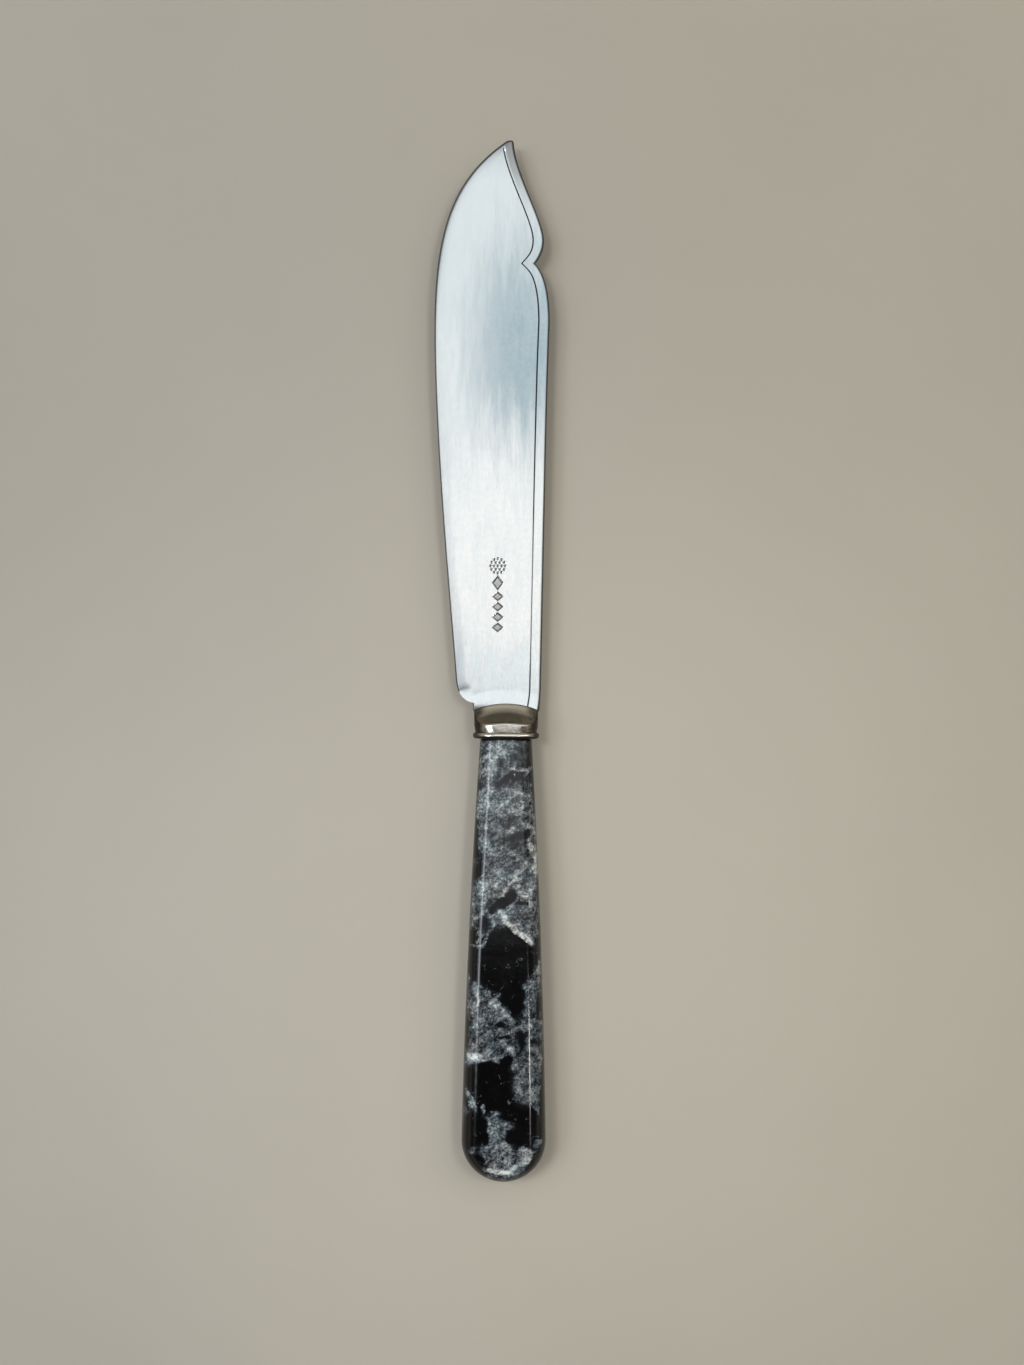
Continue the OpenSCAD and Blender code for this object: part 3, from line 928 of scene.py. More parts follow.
    def slanted(self, place: Socket) -> Socket:
        """Leans the pattern below the upper face, so that the underside shows another part.

        Args:
            place: Where the pattern is read.

        Returns:
            The leaned place.
        """
        bench = self.bench
        parts = bench.add("ShaderNodeSeparateXYZ")
        bench.feed(parts.inputs[0], place)
        depth = bench.math("MAXIMUM", bench.math("SUBTRACT", 1.5, parts.outputs["Z"]), 0.0)
        lean = bench.add("ShaderNodeCombineXYZ")
        bench.feed(lean.inputs["X"], bench.times(depth, 0.5))
        bench.feed(lean.inputs["Y"], bench.times(depth, -1.2))
        return bench.vector("ADD", place, lean.outputs[0])

    def frayed(self, place: Socket, scale: float, reach: float) -> Socket:
        """Frays the edges of all patches.

        Args:
            place: Where the pattern is read.
            scale: How fine the fraying is, per millimetre.
            reach: How far it goes, in millimetres.

        Returns:
            The frayed place.
        """
        bench = self.bench
        away = bench.sway(bench.noise(place, scale, 5.0, 0.6))
        return bench.vector("ADD", place, bench.vector("MULTIPLY", away, (reach * 2, reach * 2, 0.0)))

    def mix(self, share: Socket, first: object, second: object) -> Socket:
        """Mixes two tones.

        Args:
            share: Share of the second.
            first: The first tone.
            second: The second tone.

        Returns:
            The mixed tone.
        """
        node = self.bench.add("ShaderNodeMix", data_type="FLOAT")
        self.bench.feed(node.inputs[0], share)
        self.bench.feed(node.inputs[2], first)
        self.bench.feed(node.inputs[3], second)
        return node.outputs[0]

    def swing(self, noise: Socket, reach: float) -> Socket:
        """Turns a noise into a swing round nothing, reach being its width from end to end."""
        return self.bench.ramp(noise, 0.3, 0.7, -reach / 2, reach / 2)

    def streaks(self) -> Socket:
        """Draws the stone's slanting streaks.

        Returns:
            Their noise.
        """
        bench = self.bench
        turned = bench.add("ShaderNodeVectorRotate", rotation_type="Z_AXIS")
        bench.feed(turned.inputs["Vector"], self.place)
        bench.feed(turned.inputs["Angle"], math.radians(-38.0))
        drawn = bench.vector("MULTIPLY", turned.outputs[0], (0.42, 1.25, 0.8))
        return bench.grain(drawn, 1.0, 4.0, 0.65)

    def crystals(self) -> Socket:
        """Scatters small bright grains through the grey stone.

        Returns:
            What they add to the tone.
        """
        bench = self.bench
        spark = bench.grain(self.place, 3.6, 2.0, 0.6)
        where = bench.grain(self.place, 0.4, 2.0, 0.5)
        few = bench.ramp(where, 0.42, 0.6, 0.08, 0.42)
        return bench.times(bench.ramp(spark, 0.61, 0.7), few)

    def threads(self) -> Socket:
        """Draws a few fine pale threads through the black stone.

        Returns:
            Their tone.
        """
        bench = self.bench
        place = self.frayed(self.place, 0.9, 0.9)
        noise = bench.grain(place, 0.55, 2.0, 0.5)
        off = bench.math("ABSOLUTE", bench.math("SUBTRACT", noise, 0.5))
        line = bench.ramp(off, 0.016, 0.004)
        chosen = bench.grain(self.place, 0.5, 3.0)
        broken = bench.ramp(chosen, 0.54, 0.64)
        return bench.times(bench.times(line, broken), 0.5)


class DarkCement(Finish):
    """Dark resin cement, rough and full of fine grit."""

    name = "cement"

    def fill(self) -> None:
        """Fills in the shader's sockets."""
        bench = self.bench
        grit = bench.grain(self.place, 5.0, 4.0, 0.7)
        colour = bench.colours(grit, ((0.3, (0.008, 0.006, 0.005)), (0.7, (0.045, 0.034, 0.027))))
        self.set(Base_Color=colour, Roughness=0.75, Normal=bench.bump(grit, 0.05), Metallic=0.0)


class ForgedIron(Finish):
    """Scaled iron of the hidden tang, with patches of old rust."""

    name = "tang_iron"

    def fill(self) -> None:
        """Fills in the shader's sockets."""
        bench = self.bench
        rust = self.clouds(0.5, 0.48, 0.6)
        scale = bench.grain(self.place, 1.6, 5.0, 0.6)
        iron = bench.colours(scale, ((0.3, (0.05, 0.05, 0.052)), (0.7, (0.17, 0.165, 0.16))))
        colour = bench.blend(rust, iron, (0.15, 0.06, 0.025))
        rough = bench.math("MULTIPLY_ADD", rust, 0.35, 0.45)
        metal = bench.math("SUBTRACT", 1.0, rust)
        self.set(Base_Color=colour, Roughness=rough, Metallic=metal, Normal=bench.bump(scale, 0.08))


class CastSolder(Finish):
    """Dull silver solder, as it froze in its joint."""

    name = "solder"

    def fill(self) -> None:
        """Fills in the shader's sockets."""
        bench = self.bench
        frost = bench.grain(self.place, 3.0, 4.0, 0.6)
        colour = bench.colours(frost, ((0.3, (0.42, 0.42, 0.4)), (0.7, (0.66, 0.66, 0.64))))
        rough = bench.math("MULTIPLY_ADD", frost, 0.2, 0.35)
        self.set(Base_Color=colour, Roughness=rough, Metallic=1.0, Normal=bench.bump(frost, 0.02))


# The knife's pieces


@dataclass
class Blade:
    """The silver blade, with its notch, engraved line, blunt bevelled edge and punch marks.

    Of the darkening, what is dark or widens along the blade is a start and a length, and a rim
    is its width on the lower blade and what the tip adds to it. The engraved line holds tarnish;
    the dark rim along the edges and the dark back strip near the tip are painted shade.
    """

    axes: KnifeAxes
    arch_radius: float = ARCH_RADIUS
    belly_from_tip: float = 36.8
    heel_reach: float = 10.1
    heel_round: float = 4.4
    neck_gap: float = 0.1
    face_thickness: float = 1.6
    back_thickness: float = 1.3
    bevel_thickness: float = 1.1
    edge_thickness: float = 0.5
    bevel_width: float = 2.4
    tip_width: float = 0.8
    tip_share: float = 0.6
    notch_from_tip: float = 24.9
    notch_reach: float = 5.2
    lobe_reach: float = 7.0
    lobe_rise: float = 4.7
    shoulder_drop: float = 11.9
    line_inset: float = 2.1
    line_width: float = 0.34
    line_depth: float = 0.2
    cusp_share: float = 0.22
    cusp_reach: float = 1.6
    flare_length: float = 2.9
    mark_x: float = -1.85
    mark_reach: float = 2.1
    mark_low_y: float = 21.5
    mark_high_y: float = 36.7
    mark_depth: float = 0.09
    mark_ink: float = 1.6
    dot_reach: float = 0.42
    dot_depth_share: float = 0.9
    rosette_reach: float = 1.75
    lozenge_width: float = 2.3
    lozenge_gap: float = 0.08
    lozenge_lengths: tuple[float, ...] = (1.6, 1.0, 1.0, 1.0, 1.0)
    full_width: float = 14.0
    thin_width: float = 8.0
    bevel_bulge: float = 0.12
    ink_end: float = 0.7
    ink_fade: float = 0.9
    line_dark_above: Vec2 = (34.0, 22.0)
    line_dark_below: Vec2 = (17.0, -5.0)
    face_dark_from_tip: Vec2 = (-9.0, 9.0)
    back_dark_from_notch: Vec2 = (6.0, 14.0)
    # Painted shade along the blade's rim: its width at the edge and at the back, a haze inside the edge
    # near the tip, and the tip's own rim.
    rim_widens_from_notch: Vec2 = (-22.0, 26.0)
    edge_rim: Vec2 = (0.42, 0.33)
    edge_haze: float = 2.6
    edge_haze_share: float = 0.22
    back_rim: Vec2 = (0.38, 0.17)
    tip_rim: float = 0.6

    def __post_init__(self) -> None:
        """Measures the CAD blade and bolster, and lays out the outlines."""
        blade, bolster = self.axes.box("blade"), self.axes.box("bolster")
        self.tip_y = blade.high.y
        self.belly_reach = -blade.low.x
        self.back_reach = blade.high.x
        self.lip = blade.height
        self.neck_reach = bolster.width / 2
        self.front_y = bolster.high.y
        self.arch_y = self.front_y - self.arch_radius
        self.neck_y = self.front_y + self.neck_gap
        self.heel_y = self.neck_y + self.heel_round
        self.belly_y = self.tip_y - self.belly_from_tip
        self.notch_y = self.tip_y - self.notch_from_tip
        neck, heel = (-self.neck_reach, self.neck_y), (-self.heel_reach, self.heel_y)
        self.heel = Span(neck, heel, (0.62, 0.034), (0.07, 0.545))
        self.edge = self.edge_outline()
        self.back = self.back_outline()
        self.rim = np.concatenate([self.edge[::8], self.edge[-1:], self.heel.points(14)[::-1][1:5]])

    def edge_outline(self) -> np.ndarray:
        """Lays out the cutting edge.

        Returns:
            Its points, from the tip down to the top of the heel.
        """
        tip = (-self.tip_width / 2, self.tip_y)
        belly = (-self.belly_reach, self.belly_y)
        heel = (-self.heel_reach, self.heel_y)
        upper = Span(tip, belly, (0.77, 0.207), (0.0, 0.5)).points(160)
        lower = Span(belly, heel, (0.0, 0.33), (0.223, 0.179)).points(160)
        return np.concatenate([upper, lower[1:]])

    def back_outline(self) -> np.ndarray:
        """Lays out the back, with its lobe, its notch and its shoulder.

        Returns:
            Its points, from the tip down to the height of the heel.
        """
        half = self.tip_width / 2
        point = (self.tip_width, self.tip_y - half)
        lobe = (self.lobe_reach, self.notch_y + self.lobe_rise)
        notch = (self.notch_reach, self.notch_y)
        shoulder = (self.back_reach, self.notch_y - self.shoulder_drop)
        heel = (self.back_reach - 0.77 * (self.back_reach - self.neck_reach), self.heel_y)
        parts = [
            np.array([(half, self.tip_y), (half * 1.7, self.tip_y - half * 0.3)]),
            Span(point, lobe, (0.04, 0.302), (0.0, 0.21)).points(90),
            Span(lobe, notch, (0.0, 0.338), (0.72, 0.355)).points(40)[1:],
            Span(notch, shoulder, (0.534, 0.115), (0.0, 0.598)).points(60)[1:],
            Span(shoulder, heel, (0.44, 0.197), (0.262, 0.258)).points(120)[1:],
        ]
        return np.concatenate(parts)

    def arch(self, x: np.ndarray) -> np.ndarray:
        """Gives the y of the bolster's arched front at x."""
        return self.arch_y + np.sqrt(self.arch_radius**2 - x * x)

    def stations(self) -> np.ndarray:
        """Lists the y of the straight rows, dense round the marks, the notch and the tip.

        Returns:
            The heights, from the heel up to the tip.
        """
        marks = (self.mark_low_y - 1.2, self.mark_high_y + 1.2)
        notch = (self.notch_y - 4.0, self.notch_y + 3.0)
        parts = [
            np.arange(self.heel_y, marks[0], 0.45),
            np.arange(marks[0], marks[1], 0.075),
            np.arange(marks[1], notch[0], 0.6),
            np.arange(notch[0], self.notch_y, 0.1),
            np.arange(self.notch_y, notch[1], 0.1),
            np.arange(notch[1], self.tip_y - 5.0, 0.4),
            np.linspace(self.tip_y - 5.0, self.tip_y, 48),
        ]
        return np.concatenate(parts)

    def rows(self) -> list[tuple[Vec2, Vec2, float]]:
        """Lays out every row of the blade, from the arched root up to the tip.

        Returns:
            For each row its edge end, its back end and how much of the arch it follows.
        """
        corner = (self.neck_reach, float(self.arch(np.array(self.neck_reach))))
        left = np.concatenate([np.array([(-corner[0], corner[1])]), self.heel.points(40)])
        heel_back = (self.across(self.back, self.heel_y), self.heel_y)
        right = Span(corner, heel_back, (0.5, 0.3), (0.0, 0.5)).points(40)
        made = []
        for share in np.linspace(0.0, 1.0, 40)[:-1]:
            made.append((self.along(left, share), self.along(right, share), 1.0 - share))
        for y in self.stations():
            edge, back = (self.across(outline, y) for outline in (self.edge, self.back))
            made.append(((edge, float(y)), (back, float(y)), 0.0))
        return made

    def across(self, outline: np.ndarray, y: float) -> float:
        """Gives the x of an outline at y."""
        return float(np.interp(y, outline[::-1, 1], outline[::-1, 0]))

    def along(self, path: np.ndarray, share: float) -> Vec2:
        """Finds a point on a path by its share of the path's length.

        Args:
            path: The path's points.
            share: From 0 at its start to 1 at its end.

        Returns:
            The point.
        """
        steps = np.linalg.norm(np.diff(path, axis=0), axis=1)
        passed = np.concatenate([[0.0], np.cumsum(steps)])
        want = share * passed[-1]
        return float(np.interp(want, passed, path[:, 0])), float(np.interp(want, passed, path[:, 1]))

    def columns(self, edge: Vec2, back: Vec2) -> tuple[np.ndarray, np.ndarray, np.ndarray, np.ndarray]:
        """Lays out one row's columns.

        Args:
            edge: The row's end at the cutting edge.
            back: The row's end at the back.

        Returns:
            The x of each column, its zone from 0 at the edge over 1 at the line to 2 at
            the back, its depth in the engraved line, and how inked the line is there.
        """
        away = (back[1] - self.notch_y) / self.cusp_reach
        inset = self.line_inset * (1 + self.cusp_share * math.exp(-away * away))
        width = back[0] - edge[0]
        line = max(back[0] - inset, edge[0] + 0.2 * width)
        half = min(self.line_width / 2, 0.2 * (back[0] - line), 0.3 * (line - edge[0]))
        bevel = min(self.bevel_width, 0.36 * (line - edge[0]))
        first, last = edge[0] + bevel, line - half
        middle = limited((self.mark_x - first) / (last - first), 0.3, 0.7)
        reach = min(self.mark_reach / (last - first), 0.22)
        low, high = middle - reach, middle + reach
        sides = np.linspace(0.0, low, 9)[:-1], np.linspace(high, 1.0, 9)[1:]
        face = np.concatenate([sides[0], np.linspace(low, high, 60), sides[1]])
        groove = np.linspace(-1.0, 1.0, 9)[1:-1]
        strip = 1 - np.linspace(1.0, 0.0, 8) ** 1.6
        slope = np.linspace(0.0, 1.0, 7)[:-1] ** 1.6
        x = np.concatenate([
            edge[0] + bevel * slope,
            first + (last - first) * face,
            line + half * groove,
            line + half + (back[0] - line - half) * strip,
        ])
        zone = np.concatenate([0 * slope, face, 0 * groove + 1, 1 + strip])
        fade = limited((self.tip_y - self.ink_end - back[1]) / self.ink_fade)
        ink = np.concatenate([0 * slope, 0 * face, (1 - np.abs(groove)) * fade, 0 * strip])
        depth = ink * limited((line - edge[0] - 0.4) / 2.4)
        return x, zone, depth, ink

    def edge_reach(self, x: np.ndarray, y: np.ndarray) -> np.ndarray:
        """Measures how far places lie from the cutting edge.

        Args:
            x: Places across the blade.
            y: Places along it.

        Returns:
            The distance of each.
        """
        points = np.stack([x, y], axis=1)
        reach = np.full(len(x), np.inf)
        for start, end in zip(self.rim[:-1], self.rim[1:]):
            way = end - start
            share = np.clip((points - start) @ way / (way @ way), 0, 1)
            reach = np.minimum(reach, np.linalg.norm(points - start - share[:, None] * way, axis=1))
        return reach

    def half_thickness(
        self, x: np.ndarray, y: np.ndarray, zone: np.ndarray, width: float, reach: np.ndarray
    ) -> np.ndarray:
        """Gives half the blade's thickness.

        Args:
            x: Places across the blade.
            y: Places along it.
            zone: From 0 at the edge over 1 at the line to 2 at the back.
            width: The row's width, with which the face gets thinner towards the tip.
            reach: How far each place lies from the cutting edge.

        Returns:
            The half thickness at each place.
        """
        full = min(width / self.full_width, 1.0)
        bevel = np.clip(reach / (self.bevel_width * (0.3 + 0.7 * full)), 0, 1)
        bevel = bevel + self.bevel_bulge * bevel * (1 - bevel)
        spine = self.bevel_thickness + (self.face_thickness - self.bevel_thickness) * full
        flat = self.bevel_thickness + (spine - self.bevel_thickness) * np.clip(zone, 0, 1)
        fall = np.clip(zone - 1, 0, 1) * min(width / self.thin_width, 1.0)
        strip = spine + (self.back_thickness - spine) * fall
        body = self.edge_thickness + (np.where(zone > 1, strip, flat) - self.edge_thickness) * bevel
        up = np.clip((y - self.front_y) / (self.tip_y - self.front_y), 0, 1)
        body = body * (1 - (1 - self.tip_share) * up)
        away = np.maximum(0, np.hypot(x, y - self.arch_y) - self.arch_radius)
        flare = (1 - np.clip(away / self.flare_length, 0, 1)) ** 2
        return (body * (1 - flare) + self.lip * flare) / 2

    def punch_depth(self, x: np.ndarray, y: np.ndarray) -> np.ndarray:
        """Sinks the punch marks: a ring of dots, and under it a column of plain lozenges.

        Args:
            x: Places across the blade.
            y: Places along it.

        Returns:
            How far each place is sunk.
        """
        sunk = np.zeros_like(x)
        rosette_y = self.mark_high_y - self.rosette_reach
        dots = [(0.0, 0.0)]
        for ring, count in ((0.44, 6), (0.83, 12)):
            reach = self.rosette_reach * ring
            for turn in np.arange(count) * 2 * math.pi / count:
                dots.append((reach * math.cos(turn), reach * math.sin(turn)))
        for dot_x, dot_y in dots:
            away = np.hypot(x - self.mark_x - dot_x, y - rosette_y - dot_y)
            dot = smooth(1 - away / self.dot_reach)
            sunk = np.maximum(sunk, self.mark_depth * self.dot_depth_share * dot)
        top = self.mark_high_y - 2 * self.rosette_reach
        height = (top - self.mark_low_y) / sum(self.lozenge_lengths)
        for share in self.lozenge_lengths:
            half = share * height / 2 - self.lozenge_gap
            centre = top - share * height / 2
            top -= share * height
            away = np.abs(x - self.mark_x) / (self.lozenge_width / 2) + np.abs(y - centre) / half
            rim = smooth(1 - np.abs(away - 0.8) / 0.3)
            inside = smooth((0.85 - away) / 0.2)
            sunk = np.maximum(sunk, self.mark_depth * np.maximum(rim, 0.3 * inside))
        return sunk

    def build(self) -> bpy.types.Object:
        """Builds the blade.

        Returns:
            The blade, which stands for its CAD node.
        """
        chord = float(self.arch(np.array(self.neck_reach)))
        round_over = np.zeros(4)
        rings, hollows, rim_shades = [], [], []
        for edge, back, arch_share in self.rows():
            x, zone, depth, ink = self.columns(edge, back)
            y = edge[1] + (back[1] - edge[1]) * (x - edge[0]) / (back[0] - edge[0])
            y = y + arch_share * (self.arch(np.clip(x, -self.neck_reach, self.neck_reach)) - chord)
            reach = self.edge_reach(x, y)
            half = self.half_thickness(x, y, zone, back[0] - edge[0], reach)
            sunk = self.punch_depth(x, y)
            top = np.stack([x, y, half - self.line_depth * depth - sunk], axis=1)
            bottom = np.stack([x, y, self.line_depth * depth - half], axis=1)[::-1]
            rings.append(np.concatenate([top, self.rounding(top[-1]), bottom, self.rounding(bottom[-1])]))
            # Tarnish in the engraved line and the punch marks, with painted shade on the back strip near
            # the tip.
            worn = self.line_mark(edge[1])
            mark = np.clip(self.mark_ink * (ink * worn + sunk / self.mark_depth), 0, 1)
            mark = np.maximum(mark, self.tip_mark(zone, edge[1]))
            hollows.append(np.concatenate([mark, round_over, ink[::-1] * worn, round_over]))
            # Painted shade along the blade's rim; its rounded edges are painted fully dark.
            dark = self.rim_shade_mark(reach, back[0] - x, edge[1])
            rim_shades.append(np.concatenate([dark, round_over + 1, dark[::-1], round_over + 1]))
        seated = rings[0] * np.array([0.97, 1.0, 0.9]) + np.array([0.0, -0.3, 0.0])
        marks = {"tarnish_and_shade": np.array([hollows[0], *hollows]), "rim": np.array([rim_shades[0], *rim_shades])}
        grid = np.array([seated, *rings])
        piece = Skin("blade_dressed", grid, cap_first=True, cap_last=True, marks=marks).build(self.axes)
        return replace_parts(piece, "blade")

    def line_mark(self, y: float) -> float:
        """Gives the engraved line's darkness at y, half of it worn off but for the line's ends."""
        return 0.5 + 0.5 * max(reached(y, *self.line_dark_above), reached(y, *self.line_dark_below))

    def tip_mark(self, zone: np.ndarray, y: float) -> np.ndarray:
        """Tells how dark a row grows near the tip: a little over the face, and more along the back strip,
        where it is painted shade.

        Args:
            zone: From 0 at the edge over 1 at the line to 2 at the back.
            y: Place of the row along the blade.

        Returns:
            The share of the full darkness at each column.
        """
        face = reached(y - self.tip_y, *self.face_dark_from_tip)
        strip = reached(y - self.notch_y, *self.back_dark_from_notch)
        return np.where(zone > 1, 0.2 + 0.28 * strip, 0.0) * strip + 0.24 * face

    def rim_shade_mark(self, from_edge: np.ndarray, from_back: np.ndarray, y: float) -> np.ndarray:
        """Marks the painted shade along the blade's rim, wider towards the tip.

        Args:
            from_edge: How far each place lies from the cutting edge.
            from_back: How far it lies from the back.
            y: Place of the row along the blade.

        Returns:
            The mark at each column, from the edge to the back.
        """
        near_tip = reached(y - self.notch_y, *self.rim_widens_from_notch)
        edge = smooth(1 - from_edge / (self.edge_rim[0] + self.edge_rim[1] * near_tip))
        haze = self.edge_haze_share * near_tip * smooth(1 - from_edge / self.edge_haze)
        back = smooth(1 - from_back / (self.back_rim[0] + self.back_rim[1] * near_tip))
        top = np.full(len(back), reached(y - self.tip_y, -self.tip_rim, self.tip_rim))
        return np.maximum.reduce([edge, haze, back, top])

    def rounding(self, corner: np.ndarray) -> np.ndarray:
        """Rounds the blade's rim from one face over to the other.

        Args:
            corner: The last point of the face that the round starts from.

        Returns:
            Four points round to the other face.
        """
        angles = np.radians([36.0, 72.0, 108.0, 144.0])
        outwards = 1.0 if corner[2] > 0 else -1.0
        half = abs(corner[2])
        x = corner[0] + outwards * 0.25 * half * np.sin(angles)
        z = outwards * half * np.cos(angles)
        return np.stack([x, np.full(4, corner[1]), z], axis=1)


@dataclass
class Bolster:
    """The cast bolster, whose arched front slopes down to a thin lip on the blade.

    The painted shade on its sides starts and grows over shares of the half width, and the painted
    shade on its front over millimetres above the lip, each a start and a length.
    """

    axes: KnifeAxes
    arch_radius: float = ARCH_RADIUS
    slope_length: float = 4.0
    waist_depth: float = 0.35
    waist_rise: float = 0.1
    cove_power: float = 1.3
    edge_round: float = 0.16
    foot_shade: float = 0.5
    seam_dark: float = 0.2
    brow_shade: float = 1.0
    dark_share: float = 0.9
    side_shade_span: Vec2 = (0.5, 0.42)
    front_shade: Vec2 = (0.6, 1.3)

    def build(self) -> bpy.types.Object:
        """Builds the bolster.

        Returns:
            The bolster, which stands for its CAD node.
        """
        box, lip = self.axes.box("bolster"), self.axes.box("blade").height / 2
        crown = box.height / 2
        half_width = box.width / 2
        swell = box.length - self.slope_length
        rim = squared_oval(half_width, crown)
        top_y = self.front(rim, box, lip) - self.edge_round
        wall = []
        for share in np.linspace(0, 1, 26):
            y = box.low.y + (top_y - box.low.y) * share
            waist = self.waist_depth * np.clip(1 - (y - box.low.y) / swell, 0, 1) ** 2
            scale = np.stack([1 - waist / half_width, 1 - self.waist_rise * waist / crown], axis=1)
            wall.append(standing(rim * scale, y))
        for turn in np.radians([30.0, 60.0, 90.0]):
            shrink = self.edge_round * (1 - math.cos(turn))
            ring = rim * np.array([1 - shrink / half_width, 1 - shrink / crown])
            wall.append(standing(ring, top_y + self.edge_round * math.sin(turn)))
        cove = []
        x, start = wall[-1][:, 0], wall[-1][:, 2]
        for share in np.linspace(0, 1, 22)[1:]:
            fall = np.minimum(np.abs(start), lip) - np.abs(start)
            ring = np.stack([x, np.sign(start) * (np.abs(start) + fall * share)], axis=1)
            cove.append(standing(ring, self.front(ring, box, lip)))
        grid = np.array([wall[0] * np.array([0.8, 1.0, 0.8]), *wall, *cove])
        # Painted shade: at the foot where the bolster meets the collar, in a band under the crown's edge,
        # and on the flanks; a thin dark line marks the seam with the blade.
        crease_shade = np.clip(1 - (grid[:, :, 1] - box.low.y) / self.foot_shade, 0, 1)
        above_lip = np.abs(grid[:, :, 2]) - lip
        on_front = (np.arange(len(grid)) > len(wall)).astype(float)[:, None]
        sides = smooth((np.abs(grid[:, :, 0]) / half_width - self.side_shade_span[0]) / self.side_shade_span[1])
        dark = on_front * self.dark_share
        seam = np.clip(1 - above_lip / self.seam_dark, 0, 1) * dark
        brow = np.clip(1 - np.abs(above_lip - (crown - lip)) / self.brow_shade, 0, 1) * dark
        tarnish_and_shade = np.maximum.reduce([crease_shade, seam, brow, sides * (1 - on_front * 0.5)])
        # Painted shade down the sloping front, from a little above the lip, and on the flanks.
        front = smooth((above_lip - self.front_shade[0]) / self.front_shade[1])
        shade = np.maximum(on_front * front, sides)
        marks = {"tarnish_and_shade": tarnish_and_shade, "shade": shade}
        piece = Skin("bolster_dressed", grid, cap_first=True, marks=marks).build(self.axes)
        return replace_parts(piece, "bolster")

    def front(self, oval: np.ndarray, box: Box, lip: float) -> np.ndarray:
        """Gives the y of the arched front, which slopes back towards its crown.

        Args:
            oval: The x and z of each place.
            box: The bolster's box.
            lip: Half the height of the front's lip.

        Returns:
            The y of each place.
        """
        share = np.clip((np.abs(oval[:, 1]) - lip) / (box.height / 2 - lip), 0, 1) ** (1 / self.cove_power)
        radius = self.arch_radius - self.slope_length * share
        return box.high.y - self.arch_radius + np.sqrt(radius**2 - oval[:, 0] ** 2)


@dataclass
class Collar:
    """The half-round moulding at the foot of the bolster.

    Its sides take painted shade over a span of shares of the half width, and its side that faces
    the handle over one of degrees round the bead, each a start and a length. The creases at
    its edges take painted shade too.
    """

    axes: KnifeAxes
    overlap: float = 0.04
    side_shade_span: Vec2 = (0.6, 0.34)
    side_shade: float = 0.8
    foot_shade: Vec2 = (96.0, -30.0)
    crease_power: float = 6.0

    def build(self) -> bpy.types.Object:
        """Builds the collar.

        Returns:
            The collar, which stands for its CAD node.
        """
        box = self.axes.box("collar")
        bead = box.length / 2
        rings, hollows, shades = [], [], []
        for turn in np.radians(np.linspace(0, 180, 25)):
            shrink = bead * (1 - math.sin(turn))
            oval = squared_oval(box.width / 2 - shrink, box.height / 2 - shrink)
            rings.append(standing(oval, box.low.y + bead - (bead + self.overlap) * math.cos(turn)))
            # Painted shade on the bead's ends, on its side that faces the handle, and in the creases at its
            # two edges.
            sides = smooth((np.abs(oval[:, 0]) / (box.width / 2) - self.side_shade_span[0]) / self.side_shade_span[1])
            foot = reached(math.degrees(turn), *self.foot_shade)
            hollows.append(np.maximum(sides, max(foot, abs(math.cos(turn)) ** self.crease_power)))
            shades.append(np.maximum(sides * self.side_shade, foot))
        inwards = np.array([0.5, 1.0, 0.5])
        grid = np.array([rings[0] * inwards, *rings, rings[-1] * inwards])
        marks = {}
        for name, rows in (("tarnish_and_shade", hollows), ("shade", shades)):
            marks[name] = np.array([rows[0], *rows, rows[-1]])
        piece = Skin("collar_dressed", grid, cap_first=True, cap_last=True, marks=marks).build(self.axes)
        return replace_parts(piece, "collar")


